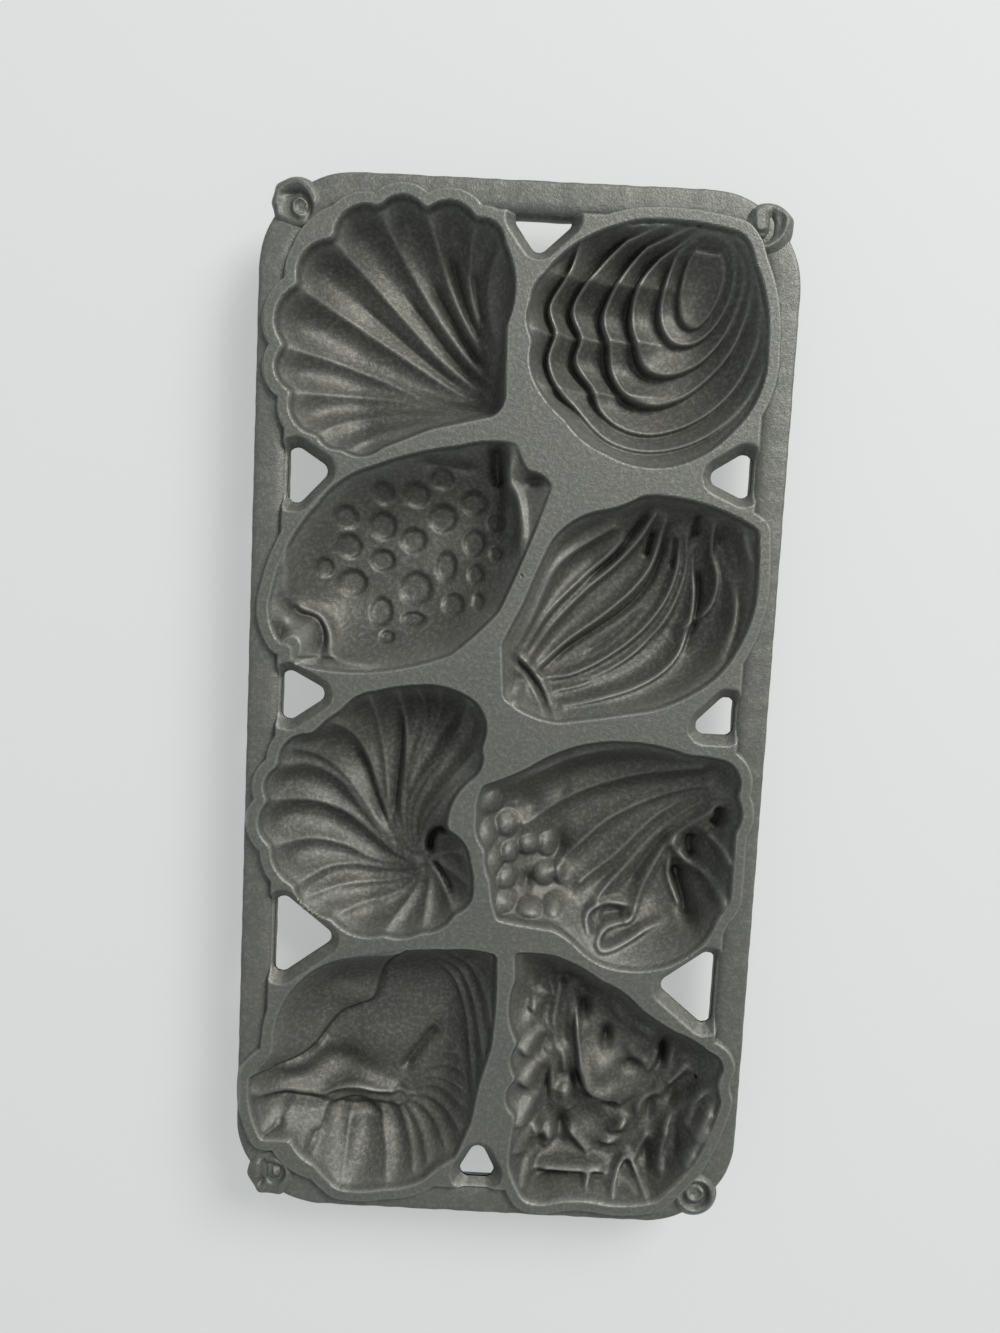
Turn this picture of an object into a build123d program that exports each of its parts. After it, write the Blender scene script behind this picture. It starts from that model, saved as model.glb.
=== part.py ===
from build123d import *
import os
from math import atan2, cos, degrees, hypot, pi, radians, sin

# Cast-iron cake pan with eight different seashell cups. The pan lies flat, with its cups
# open upwards. X runs across the pan, Y along it towards the hanging hole, and Z up. The
# origin is under the middle of the pan, on the plane that the cups' bottoms rest on. The
# iron is one casting: each node is a named portion of it, and they meet face to face.

# The pan as a whole, in millimetres
pan_width = 178.0
pan_length = 356.0
pan_height = 27.0

# The rounded bar that runs round the pan
bar_width = 11.6
bar_height = 9.0
bar_drop = 2.5            # the bar's top lies this far below the land
bar_chamfer = 3.0         # on the long edges that aren't under the land
corner_radius = 32.0

# The land: the flat plate at lip level that holds the cups
land_thickness = 5.0
lip_band = 3.5            # width of the lip round each cup, on its free side
cup_edge = 0.7            # iron beside a cavity that belongs to the cup's own node
land_overlap = 2.5        # how far the land reaches over the bar's inner shoulder
opening_slope = 3.0       # an opening is this much wider at the top, on every side

# The cups
floor_wall = 4.0
side_wall = 3.4
brim_depth = 2.5          # depth of the shallow brim that follows the whole outline
brim_scale = 0.98
belly_share = 0.55        # depth of the belly line, as a share of a cup's depth
belly_scale = 0.90        # plan size of a cup at its belly line
floor_scale = 0.66        # plan size of a smooth bowl at its floor
base_scale = 0.80         # plan size of a cup's outside at the bottom
well_scale = 0.84         # plan size, at full depth, of the drafted walls round a cup's flutes

# Curves are made of flats, so that the shells' many folds mesh lightly
chord_error = 0.5         # an arc is cut into chords that stray about this far from it
flute_flats = 3
flute_spread = radians(62)  # half of the angle that a groove's arc covers
flute_round = 1.45          # radius of a groove, in half spacings
lobe_bulge = 1.5            # an arc that bulges this much is a lobe of the rim
bridge_bulge = 0.4          # bulge of a cup's outside where it bridges the cusp between lobes
eased_share = 0.25          # the bulge that half a lobe keeps where it isn't bridged
straight_turn = 0.01        # an arc that turns less than this, in radians, is straight
flat_volume = 1e-6          # four corners that span less than this, in cubic mm, are one flat

# Depth along a flute, at shares of the way from where it starts to the rim. It runs on a
# little past the rim, and starts a little way out, where it has some width.
scallop_flute = [(0.06, 4.0), (0.45, 23.0), (1.04, 14.0)]
spiral_flute = [(0.05, 6.0), (0.50, 23.0), (1.04, 14.0)]
coil_flute = [(0.10, 8.0), (1.04, 14.0)]
whelk_ruffle = [(0.12, 8.0), (0.50, 19.0), (1.04, 15.0)]

# The corner scrolls
scroll_radius = 8.5
scroll_inset = 12.6       # from the pan's two outer edges to a scroll's centre
scroll_rise = 1.5         # the scroll's top above the bar's top
scroll_seat = 5.0         # the scroll is let this far into the bar
scroll_band = 2.0         # width of the scroll's raised coil
scroll_pitch = 2.4        # each half turn of the coil is this much smaller in radius
scroll_half_turns = 3
scroll_sides = 18
scroll_relief = 1.3       # how far the coil stands above the scroll's face

# The shells below are drawn on a plan of this size, with cups this deep. On a wider or
# longer pan the columns of cups move out with the side bars, and the rows spread along it.
drawn_width = 178.0
drawn_length = 356.0
drawn_depth = 23.0

land_top = pan_height
land_bottom = land_top - land_thickness
bar_top = land_top - bar_drop
bar_bottom = bar_top - bar_height
column_shift = (pan_width - drawn_width) / 2
row_shift = (pan_length - drawn_length) / 2
cup_depth = pan_height - floor_wall

# An outline is a ring of corners, anticlockwise: x, y, and the outward bulge of the arc
# that runs from this corner to the next. A negative bulge is a hollow.
scallop_outline = [
    (-7.0, 104.0, 0.6), (-5.8, 110.0, 0.0), (-6.4, 131.0, 3.2), (-8.4, 157.4, 3.0),
    (-18.1, 164.5, 4.2), (-34.5, 166.6, 4.2), (-49.9, 166.6, 5.0), (-64.5, 155.9, 4.8),
    (-75.6, 140.9, 5.2), (-79.5, 121.3, 4.4), (-76.6, 106.6, 4.4), (-67.7, 92.7, 1.8),
    (-59.5, 88.4, 2.6), (-45.6, 89.4, 0.0), (-29.9, 96.3, 0.0), (-12.0, 100.9, 0.8),
]
oyster_outline = [
    (1.6, 127.0, 2.0), (4.9, 110.6, 0.6), (13.4, 102.0, 1.4), (27.7, 91.3, 1.8),
    (49.1, 87.9, 2.0), (69.1, 99.9, 3.6), (79.0, 128.4, 1.8), (72.7, 155.6, 0.8),
    (68.0, 164.0, 1.4), (34.9, 166.6, 1.3), (13.4, 157.7, 0.6), (4.5, 148.4, 1.3),
    (0.2, 139.0, 1.6),
]
cowrie_outline = [
    (-73.8, 22.4, 1.0), (-72.7, 16.3, 0.8), (-49.1, 14.6, 1.2), (-19.9, 21.9, 0.6),
    (-4.1, 37.7, 0.6), (11.2, 79.9, 1.6), (3.0, 84.9, -0.4), (-1.3, 93.6, 1.2),
    (-20.6, 92.0, 1.0), (-49.1, 84.0, 2.0), (-67.0, 70.6, 2.3), (-81.3, 41.3, 2.4),
    (-77.7, 22.9, 0.0),
]
bubble_outline = [
    (-3.4, 27.3, 0.0), (-1.9, 8.7, 1.8), (17.7, 0.9, 0.2), (49.1, 6.6, 1.3),
    (69.9, 18.7, 2.6), (81.6, 48.0, 0.3), (80.6, 69.4, 2.0), (49.1, 79.1, 0.3),
    (40.6, 78.7, -0.9), (26.3, 73.1, 1.7), (11.4, 62.3, 0.3), (3.3, 41.6, 0.0),
]
spiral_outline = [
    (-31.0, 12.0, 0.4), (-45.0, 9.2, 1.6), (-56.5, 2.0, 0.6), (-66.0, -6.5, 4.2),
    (-77.5, -18.5, 3.0), (-80.7, -31.0, 4.0), (-79.0, -47.0, 2.6), (-70.6, -60.5, 3.6),
    (-57.5, -71.3, 3.2), (-39.0, -76.5, 1.6), (-25.7, -75.0, 2.2), (-14.5, -68.0, 2.2),
    (-8.2, -58.0, 0.4), (-9.6, -49.0, 2.2), (-18.2, -37.5, -2.2), (-11.0, -20.5, 2.2),
    (-7.8, -9.0, 2.8), (-10.7, 7.3, 2.0),
]
conch_outline = [
    (-7.4, -21.5, 0.8), (-9.0, -33.0, 1.5), (-5.5, -44.5, 0.8), (-3.3, -55.0, 0.6),
    (0.0, -69.0, 0.2), (19.5, -71.5, -0.6), (29.0, -78.0, 1.6), (45.0, -84.6, 1.8),
    (66.0, -79.5, 1.8), (76.5, -64.0, 0.5), (80.4, -58.0, 0.0), (80.4, -34.0, 2.0),
    (80.2, -21.0, 2.6), (76.0, -8.8, 0.5), (63.0, -7.5, 1.5), (35.0, -4.0, 2.0),
    (8.0, -14.5, -0.3),
]
whelk_outline = [
    (-36.0, -81.6, 0.3), (-56.0, -86.0, 5.5), (-76.5, -116.0, 0.0), (-77.0, -122.0, 1.0),
    (-84.5, -130.0, 1.8), (-79.5, -153.5, 0.0), (-69.0, -153.2, 1.2),
    (-61.0, -161.5, 0.3), (-52.0, -170.3, 1.0), (-35.5, -169.5, 1.0),
    (-21.0, -165.5, -0.6), (-10.0, -156.5, 0.0), (-5.0, -143.0, 0.0), (-3.0, -129.5, 0.0),
    (0.8, -115.0, 0.6), (1.0, -81.0, 0.8), (-15.0, -79.8, 0.3),
]
murex_outline = [
    (6.5, -79.8, 0.0), (7.3, -90.0, 2.8), (9.3, -113.0, 2.4), (9.5, -126.0, 3.8),
    (10.0, -140.0, 0.5), (8.5, -158.5, 0.6), (14.5, -171.0, 1.2), (26.0, -171.0, -1.0),
    (44.0, -171.0, 0.8), (62.0, -169.0, 0.3), (74.0, -155.0, 1.0), (82.6, -130.0, -1.6),
    (82.6, -119.0, 1.6), (77.0, -112.0, 0.8), (65.0, -105.5, -0.3), (52.0, -97.5, 1.2),
    (38.0, -88.4, 1.0), (20.0, -79.8, 0.3),
]

# Where the flutes and terraces of each shell start, in plan
scallop_hinge = (-8.0, 105.0)
oyster_umbo = (57.0, 148.0)
spiral_whorl = (-25.5, -48.5)
spiral_swirl = 0.75       # radians that a flute turns from the whorl to the rim
whelk_lip = (-33.0, -136.0)

# Oyster terraces: plan size about the umbo, and depth, from the rim in
oyster_terraces = [
    (1.0, 0.0), (0.95, 9.0), (0.82, 11.0), (0.77, 16.0), (0.56, 17.5), (0.50, 22.0),
    (0.14, 23.0),
]

# Cowrie: its floor depth, and the x, y and radius of each round spot sunk into it
cowrie_depth = 20.5
spot_depth = 1.6
spot_sides = 12
cowrie_spots = [
    (-58.4, 67.0, 5.0), (-45.6, 65.0, 4.8), (-33.8, 75.6, 5.0), (-34.6, 59.5, 4.5),
    (-24.4, 68.4, 5.0), (-55.8, 45.2, 5.0), (-44.6, 52.5, 4.3), (-33.4, 43.4, 6.0),
    (-14.6, 60.6, 4.5), (-20.8, 47.4, 5.0), (-45.4, 33.6, 5.0),
]

# Bubble shell: a number of staves, and the lines that they cross: the line's two ends, and
# the depth there
bubble_staves = 9
bubble_lines = [
    ((3.0, 24.0), (15.0, 4.0), 12.0), ((7.0, 46.0), (46.0, 7.0), 22.0),
    ((22.0, 70.0), (74.0, 27.0), 22.5), ((37.0, 84.0), (88.0, 56.0), 13.0),
]

# Conch: folds through stations of x, y, depth and radius, and knobs of x, y and radius
conch_folds = [
    [(77.0, -14.0, 8.0, 5.0), (40.0, -19.0, 19.0, 11.0), (-4.0, -26.0, 15.0, 13.0)],
    [(77.0, -15.0, 8.0, 5.0), (42.0, -32.0, 21.0, 12.0), (4.0, -46.0, 18.0, 16.0)],
    [(77.0, -17.0, 8.0, 5.0), (50.0, -44.0, 22.0, 11.0), (18.0, -64.0, 19.0, 14.0)],
    [(78.0, -20.0, 8.0, 5.0), (62.0, -50.0, 23.0, 10.0), (36.0, -76.0, 18.0, 11.0)],
    [(79.0, -24.0, 9.0, 5.0), (74.0, -54.0, 21.0, 9.0), (56.0, -82.0, 16.0, 11.0)],
]
conch_knobs = [
    (-2.5, -28.0, 5.0), (-2.0, -40.0, 5.0), (4.0, -51.0, 5.0), (6.0, -62.0, 5.5),
    (19.0, -64.0, 5.0),
]
knob_depth = 21.0
knob_sides = 8
knob_taper = 0.5          # a knob's size at its tip

# Whelk: the round body whorl above its lip
whelk_whorl_outline = [
    (-38.0, -81.0, 3.0), (-66.0, -97.0, 3.0), (-74.0, -124.0, 1.5), (-48.0, -134.0, 0.8),
    (-16.0, -136.0, 3.0), (0.0, -112.0, 3.5), (-10.0, -82.0, 2.0),
]

# Murex: folds through stations of x, y, depth and radius
murex_folds = [
    [(12.0, -78.0, 12.0, 6.0), (12.0, -120.0, 18.0, 7.0), (14.0, -172.0, 14.0, 8.0)],
    [(20.0, -78.0, 14.0, 7.0), (23.0, -120.0, 20.0, 9.0), (26.0, -172.0, 16.0, 10.0)],
    [(29.0, -80.0, 14.0, 8.0), (37.0, -118.0, 22.0, 11.0), (41.0, -172.0, 16.0, 11.0)],
    [(44.0, -88.0, 12.0, 8.0), (51.0, -122.0, 21.0, 10.0), (55.0, -172.0, 16.0, 10.0)],
    [(60.0, -100.0, 12.0, 7.0), (63.0, -128.0, 19.0, 9.0), (65.0, -170.0, 13.0, 9.0)],
    [(80.0, -112.0, 11.0, 6.0), (74.0, -132.0, 17.0, 8.0), (69.0, -162.0, 12.0, 7.0)],
]

# Through openings: the corners of each rounded triangle, and the radius of its corners
opening_corners = [
    [(-77.4, 91.5), (-77.4, 66.0), (-62.5, 82.2)],
    [(-77.4, 16.0), (-77.4, -5.5), (-60.0, 7.0)],
    [(-77.4, -62.0), (-77.4, -95.5), (-55.5, -79.0)],
    [(77.4, 96.5), (60.5, 85.5), (77.4, 78.0)],
    [(77.4, 17.0), (60.5, -0.6), (77.4, -0.6)],
    [(77.4, -74.5), (57.0, -90.0), (77.4, -106.5)],
]
opening_round = 2.4
hang_hole_corners = [(-8.5, 168.6), (2.2, 154.0), (17.5, 168.6)]
foot_hole_corners = [(-2.4, -150.0), (-10.5, -165.0), (5.6, -165.0)]
end_hole_round = 1.8


def shift_of(x, y):
    """How far a place on the drawn plan moves out with its column and its row."""
    side = (x > 0) - (x < 0)
    return side * column_shift, y / (drawn_length / 2) * row_shift


def centre_of(points):
    """Middle of the points' reach, in plan."""
    xs = [point[0] for point in points]
    ys = [point[1] for point in points]
    return (min(xs) + max(xs)) / 2, (min(ys) + max(ys)) / 2


def level(depth):
    """Height of what is drawn at a depth below the land, on a pan of any height."""
    return land_top - depth * cup_depth / drawn_depth


def moved(points, shift):
    """Points or corners moved in plan; what follows x and y in each stays."""
    return [(point[0] + shift[0], point[1] + shift[1], *point[2:]) for point in points]


def sized(points, scale, grow):
    """The ring of points scaled about its middle and then grown outwards by a width."""
    mid_x, mid_y = centre_of(points)
    scaled = [(mid_x + (x - mid_x) * scale, mid_y + (y - mid_y) * scale) for x, y in points]
    result = []
    for i, (x, y) in enumerate(scaled):
        before, after = scaled[i - 1], scaled[(i + 1) % len(scaled)]
        along_x, along_y = after[0] - before[0], after[1] - before[1]
        reach = hypot(along_x, along_y)
        result.append((x + grow * along_y / reach, y - grow * along_x / reach))
    return result


def arc_point(start, end, bulge, share):
    """A point at a share of the arc from one corner to the next, on an anticlockwise ring."""
    along_x, along_y = end[0] - start[0], end[1] - start[1]
    chord = hypot(along_x, along_y)
    turn = 4 * atan2(2 * bulge, chord)
    if abs(turn) < straight_turn:
        forward, outward = chord * (share - 0.5), 0
    else:
        radius = chord / 2 / sin(turn / 2)
        forward = radius * sin(turn * (share - 0.5))
        outward = radius * (cos(turn * (share - 0.5)) - cos(turn / 2))
    return ((start[0] + end[0]) / 2 + (forward * along_x + outward * along_y) / chord,
            (start[1] + end[1]) / 2 + (forward * along_y - outward * along_x) / chord)


def chorded(outline):
    """The outline as a plain ring of points: its corners, and points along its arcs."""
    points = []
    for i, (x, y, bulge) in enumerate(outline):
        end = outline[(i + 1) % len(outline)]
        chords = max(1, round((abs(bulge) / chord_error) ** 0.5))
        points += [arc_point((x, y), end, bulge, k / chords) for k in range(chords)]
    return points


def is_cusp(outline, i):
    """Whether a corner is a hollow between two lobes."""
    last, corner, following = outline[i - 1], outline[i], outline[(i + 1) % len(outline)]
    if min(last[2], corner[2]) < lobe_bulge:
        return False
    before = arc_point(last, corner, last[2], 0.5)
    after = arc_point(corner, following, corner[2], 0.5)
    return ((after[0] - before[0]) * (corner[1] - before[1])
            > (after[1] - before[1]) * (corner[0] - before[0]))


def without_cusps(outline):
    """The outline with its lobes bridged: the cusp between two lobes gives way to their middles."""
    result = []
    for i, (x, y, bulge) in enumerate(outline):
        j = (i + 1) % len(outline)
        is_lobe = bulge >= lobe_bulge
        if not is_cusp(outline, i):
            result.append((x, y, bulge * eased_share if is_lobe else bulge))
        if is_lobe:
            bridge = bridge_bulge if is_cusp(outline, j) else bulge * eased_share
            result.append((*arc_point((x, y), outline[j], bulge, 0.5), bridge))
    return result


def ring_face(points, z):
    """A flat face inside a ring of points."""
    return Face(Wire.make_polygon([Vector(x, y, z) for x, y in points], close=True))


def flat_face(*corners):
    """A flat face inside its corners."""
    return Face(Wire.make_polygon(corners, close=True))


def side_faces(a, b, c, d):
    """One flat face through four corners, or two where the corners don't share a plane."""
    if abs((b - a).cross(c - a).dot(d - a)) < flat_volume:
        return [flat_face(a, b, c, d)]
    return [flat_face(a, b, c), flat_face(a, c, d)]


def flat_sided(rings):
    """A closed solid of flat facets through matching rings of points."""
    faces = [flat_face(*rings[0]), flat_face(*rings[-1])]
    for ring, following in zip(rings, rings[1:]):
        for i in range(len(ring)):
            j = (i + 1) % len(ring)
            faces += side_faces(ring[i], ring[j], following[j], following[i])
    return Solid(Shell(faces))


def many_sided(x, y, radius, sides):
    """A regular ring of corners about a centre."""
    return [(x + radius * cos(2 * pi * k / sides), y + radius * sin(2 * pi * k / sides))
            for k in range(sides)]


def stacked(*levels):
    """A solid with flat sides through level rings, each given with its height."""
    return flat_sided([[Vector(x, y, z) for x, y in ring] for ring, z in levels])


def bowl(ring, depth):
    """A cup-shaped space: steep walls down to the belly, then in to the floor."""
    return stacked((ring, land_top),
                   (sized(ring, belly_scale, 0), level(depth * belly_share)),
                   (sized(ring, floor_scale, 0), level(depth)))


def brim(ring):
    """The shallow top of a cavity, which opens the whole outline."""
    return stacked((ring, land_top), (sized(ring, brim_scale, 0), land_top - brim_depth))


def well(ring):
    """A space with drafted walls under an outline, as deep as a cup may go."""
    return stacked((ring, land_top), (sized(ring, well_scale, 0), land_top - cup_depth))


def cup_body(outline):
    """The iron of a cup before it is hollowed: upright in the land, then round the bowl."""
    collar = extrude(ring_face(sized(chorded(outline), 1, cup_edge), land_bottom), land_thickness)
    ring = chorded(without_cusps(outline))
    outside = stacked((sized(ring, 1, cup_edge), land_bottom),
                      (sized(ring, belly_scale, side_wall), land_top - cup_depth * belly_share),
                      (sized(ring, base_scale, side_wall), 0))
    return collar + outside


def groove(stations):
    """A round-bottomed groove, open at the top, through stations of x, y, depth and radius."""
    rings = []
    for i, (x, y, depth, radius) in enumerate(stations):
        before, after = stations[max(i - 1, 0)], stations[min(i + 1, len(stations) - 1)]
        heading = atan2(after[1] - before[1], after[0] - before[0])
        across_x, across_y = -sin(heading), cos(heading)
        ring = []
        for k in range(flute_flats + 1):
            angle = flute_spread * (2 * k / flute_flats - 1)
            ring.append(Vector(x + across_x * radius * sin(angle),
                               y + across_y * radius * sin(angle),
                               level(depth) + radius * (1 - cos(angle))))
        for corner in (ring[-1], ring[0]):
            ring.append(Vector(corner.X, corner.Y, land_top + radius))
        rings.append(ring)
    return flat_sided(rings)


def flute(hinge, rim, width, profile, swirl=0.0):
    """One groove from the hinge to the rim: it widens evenly and may curve in a swirl."""
    reach = hypot(rim[0] - hinge[0], rim[1] - hinge[1])
    rim_angle = atan2(rim[1] - hinge[1], rim[0] - hinge[0])
    stations = []
    for share, depth in profile:
        angle = rim_angle + swirl * (1 - share)
        stations.append((hinge[0] + reach * share * cos(angle),
                         hinge[1] + reach * share * sin(angle),
                         depth, flute_round * width / 2 * share))
    return groove(stations)


def lobes(outline, first, last):
    """The arc middle and the chord of each lobe, from corner number first to number last."""
    found = []
    for i in range(first, last + 1):
        start, end = outline[i % len(outline)], outline[(i + 1) % len(outline)]
        chord = hypot(end[0] - start[0], end[1] - start[1])
        found.append((arc_point(start, end, start[2], 0.5), chord))
    return found


def fused(solids):
    """All the solids as one."""
    whole = solids[0]
    for solid in solids[1:]:
        whole = whole + solid
    return whole


def between(start, end, share):
    """The point at a share of the way from start to end."""
    return start[0] + (end[0] - start[0]) * share, start[1] + (end[1] - start[1]) * share


def grooved_cavity(outline, grooves):
    """The space of a cup whose floor is a set of grooves."""
    ring = chorded(outline)
    return brim(ring) + (well(ring) & fused(grooves))


def scallop_cavity(outline, shift):
    """Straight flutes fan out from the hinge, one to each lobe of the rim."""
    hinge = moved([scallop_hinge], shift)[0]
    return grooved_cavity(outline, [flute(hinge, rim, width, scallop_flute)
                                    for rim, width in lobes(outline, 2, 12)])


def oyster_cavity(outline, shift):
    """Growth terraces: the outline repeated smaller and deeper about the umbo."""
    umbo = moved([oyster_umbo], shift)[0]
    ring = chorded(outline)
    return stacked(*[([between(umbo, point, scale) for point in ring], level(depth))
                     for scale, depth in oyster_terraces])


def cowrie_cavity(outline, shift):
    """A smooth bowl with round spots sunk into its floor."""
    spots = [extrude(Pos(x, y, level(cowrie_depth + spot_depth)) * RegularPolygon(radius, spot_sides),
                     cowrie_depth)
             for x, y, radius in moved(cowrie_spots, shift)]
    return fused([bowl(chorded(outline), cowrie_depth)] + spots)


def bubble_cavity(outline, shift):
    """Ribs sweep like barrel staves from the collar to the wide end."""
    grooves = []
    for i in range(bubble_staves):
        share = (i + 0.5) / bubble_staves
        stations = []
        for line_start, line_end, depth in bubble_lines:
            line = moved([line_start, line_end], shift)
            spacing = hypot(line[1][0] - line[0][0], line[1][1] - line[0][1]) / bubble_staves
            stations.append((*between(*line, share), depth, flute_round * spacing / 2))
        grooves.append(groove(stations))
    return grooved_cavity(outline, grooves)


def spiral_cavity(outline, shift):
    """Flutes swirl out from an off-centre whorl, with a small coil beside it."""
    whorl = moved([spiral_whorl], shift)[0]
    flutes = [flute(whorl, rim, width, spiral_flute, spiral_swirl)
              for rim, width in lobes(outline, 15, 28)]
    coil = [flute(whorl, rim, width, coil_flute) for rim, width in lobes(outline, 12, 13)]
    return grooved_cavity(outline, flutes + coil)


def conch_cavity(outline, shift):
    """Long folds run from the narrow canal to a crown of knobs, beside an open lip."""
    folds = [groove(moved(fold, shift)) for fold in conch_folds]
    knobs = [stacked((many_sided(x, y, radius, knob_sides), land_top),
                     (many_sided(x, y, radius * knob_taper, knob_sides), level(knob_depth)))
             for x, y, radius in moved(conch_knobs, shift)]
    return grooved_cavity(outline, folds + knobs)


def whelk_cavity(outline, shift):
    """A round body whorl above a lip ledge, and ruffles that fan out below it."""
    whorl = bowl(chorded(moved(whelk_whorl_outline, shift)), drawn_depth)
    lip = moved([whelk_lip], shift)[0]
    ruffles = [flute(lip, rim, width, whelk_ruffle) for rim, width in lobes(outline, 3, 12)]
    return grooved_cavity(outline, [whorl] + ruffles)


def murex_cavity(outline, shift):
    """Frilled ridges run the length of the shell."""
    return grooved_cavity(outline, [groove(moved(fold, shift)) for fold in murex_folds])


def carved(body, spaces):
    """The body with each of the spaces cut out of it."""
    for space in spaces:
        body = body - space
    return body


def triangle_cut(corners, corner_round):
    """A through opening: a rounded triangle that widens towards the land's top."""
    corners = moved(corners, shift_of(*corners[0]))
    face = make_face(Polyline(*corners, close=True))
    face = fillet(face.vertices(), corner_round)
    slope = degrees(atan2(opening_slope, land_thickness))
    funnel = extrude(Plane.XY.offset(land_bottom) * face, land_thickness, taper=-slope)
    shaft = extrude(Plane.XY * face, land_top)
    return funnel + shaft


def frame_ring():
    """The bar all the way round, with large corners."""
    outer = RectangleRounded(pan_width, pan_length, corner_radius)
    inner = RectangleRounded(pan_width - 2 * bar_width, pan_length - 2 * bar_width,
                             corner_radius - bar_width)
    ring = extrude(Plane.XY.offset(bar_bottom) * (outer - inner), bar_height)
    bottom_edges = ring.faces().sort_by(Axis.Z)[0].edges()
    top_edges = ring.faces().sort_by(Axis.Z)[-1].outer_wire().edges()
    return chamfer(bottom_edges + top_edges, bar_chamfer)


def land_plate(outlines):
    """The plate at lip level before it is cut: the inside of the bars and a lip round every cup."""
    inside = RectangleRounded(pan_width - 2 * bar_width + 2 * land_overlap,
                              pan_length - 2 * bar_width + 2 * land_overlap,
                              corner_radius - bar_width + land_overlap)
    plate = extrude(Plane.XY.offset(land_bottom) * inside, land_thickness)
    for outline in outlines:
        lip = ring_face(sized(chorded(outline), 1, lip_band), land_bottom)
        plate = plate + extrude(lip, land_thickness)
    return plate


def upright(radius, rise):
    """An upright many-sided column on the origin's plane."""
    return extrude(RegularPolygon(radius, scroll_sides), rise)


def corner_scroll():
    """A round cap with a raised coil on its face, seated on the origin's plane."""
    full_rise = scroll_seat + scroll_rise
    scroll = upright(scroll_radius, full_rise - scroll_relief)
    scroll = scroll + Pos(-scroll_pitch / 2, 0) * upright(scroll_band, full_rise)
    for number in range(scroll_half_turns):
        outside = scroll_radius - number * scroll_pitch
        odd = number % 2
        side = 1 - 2 * odd
        ring = RegularPolygon(outside, scroll_sides) - RegularPolygon(outside - scroll_band, scroll_sides)
        half = ring & Pos(0, side * scroll_radius) * Rectangle(4 * scroll_radius, 2 * scroll_radius)
        scroll = scroll + Pos(-odd * scroll_pitch, 0) * extrude(half, full_rise)
    return scroll


def scroll_places():
    """Name, place and turn of the scroll at each corner."""
    for end_name, end in (("top", 1), ("bottom", -1)):
        for side_name, side in (("left", -1), ("right", 1)):
            place = Pos(side * (pan_width / 2 - scroll_inset), end * (pan_length / 2 - scroll_inset),
                        bar_top - scroll_seat)
            yield f"scroll_{end_name}_{side_name}", place, 90 - 90 * side


cups = {
    "scallop_cup": (scallop_outline, scallop_cavity),
    "oyster_cup": (oyster_outline, oyster_cavity),
    "cowrie_cup": (cowrie_outline, cowrie_cavity),
    "bubble_cup": (bubble_outline, bubble_cavity),
    "spiral_cup": (spiral_outline, spiral_cavity),
    "conch_cup": (conch_outline, conch_cavity),
    "whelk_cup": (whelk_outline, whelk_cavity),
    "murex_cup": (murex_outline, murex_cavity),
}


def pan_nodes():
    """Every node of the pan, by name."""
    bodies = {}
    nodes = {}
    outlines = []
    for name, (drawn, cavity) in cups.items():
        shift = shift_of(*centre_of(drawn))
        outline = moved(drawn, shift)
        outlines.append(outline)
        bodies[name] = cup_body(outline)
        nodes[name] = bodies[name] - cavity(outline, shift)

    rooms = []
    for name, place, turn in scroll_places():
        nodes[name] = carved(place * Rot(0, 0, turn) * corner_scroll(), bodies.values())
        rooms.append(place * Rot(0, 0, turn) * upright(scroll_radius, pan_height))

    holes = [triangle_cut(corners, opening_round) for corners in opening_corners]
    holes += [triangle_cut(corners, end_hole_round) for corners in (hang_hole_corners, foot_hole_corners)]
    spaces = list(bodies.values()) + rooms + holes
    nodes["land"] = carved(land_plate(outlines), spaces)
    nodes["rim_frame"] = carved(frame_ring(), spaces + [nodes["land"]])
    return nodes


os.makedirs("parts", exist_ok=True)
for node_name, shape in pan_nodes().items():
    export_step(shape, f"parts/{node_name}.step")
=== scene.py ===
import bpy
import numpy as np
from math import atan2, cos, hypot, pi, sin
from mathutils import Matrix, Vector


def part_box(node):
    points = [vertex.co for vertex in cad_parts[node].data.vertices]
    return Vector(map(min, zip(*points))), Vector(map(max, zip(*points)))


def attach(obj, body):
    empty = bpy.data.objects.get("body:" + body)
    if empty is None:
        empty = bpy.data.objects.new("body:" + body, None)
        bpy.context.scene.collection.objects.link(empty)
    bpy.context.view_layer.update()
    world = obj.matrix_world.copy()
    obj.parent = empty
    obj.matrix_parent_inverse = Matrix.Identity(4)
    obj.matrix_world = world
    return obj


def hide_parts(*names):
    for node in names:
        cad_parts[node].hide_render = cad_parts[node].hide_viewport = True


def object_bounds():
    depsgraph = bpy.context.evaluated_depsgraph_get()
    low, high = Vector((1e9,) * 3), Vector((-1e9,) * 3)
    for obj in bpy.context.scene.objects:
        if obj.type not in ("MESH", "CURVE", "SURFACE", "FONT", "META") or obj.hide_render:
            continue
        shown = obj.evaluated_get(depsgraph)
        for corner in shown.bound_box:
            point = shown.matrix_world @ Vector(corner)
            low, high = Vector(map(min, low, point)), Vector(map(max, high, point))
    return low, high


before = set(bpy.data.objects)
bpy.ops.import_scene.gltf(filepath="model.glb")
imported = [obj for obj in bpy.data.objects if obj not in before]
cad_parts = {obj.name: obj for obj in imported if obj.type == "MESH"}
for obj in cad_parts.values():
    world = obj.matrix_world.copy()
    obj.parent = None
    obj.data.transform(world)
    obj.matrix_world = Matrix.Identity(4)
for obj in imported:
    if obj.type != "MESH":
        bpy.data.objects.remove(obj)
cad_low, cad_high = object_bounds()

# Lengths below are millimetres, in the same plan as the solids: X across the pan, Y along it
# towards the hanging hole, Z up from the plane that the cups rest on.
mm = 0.001

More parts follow.
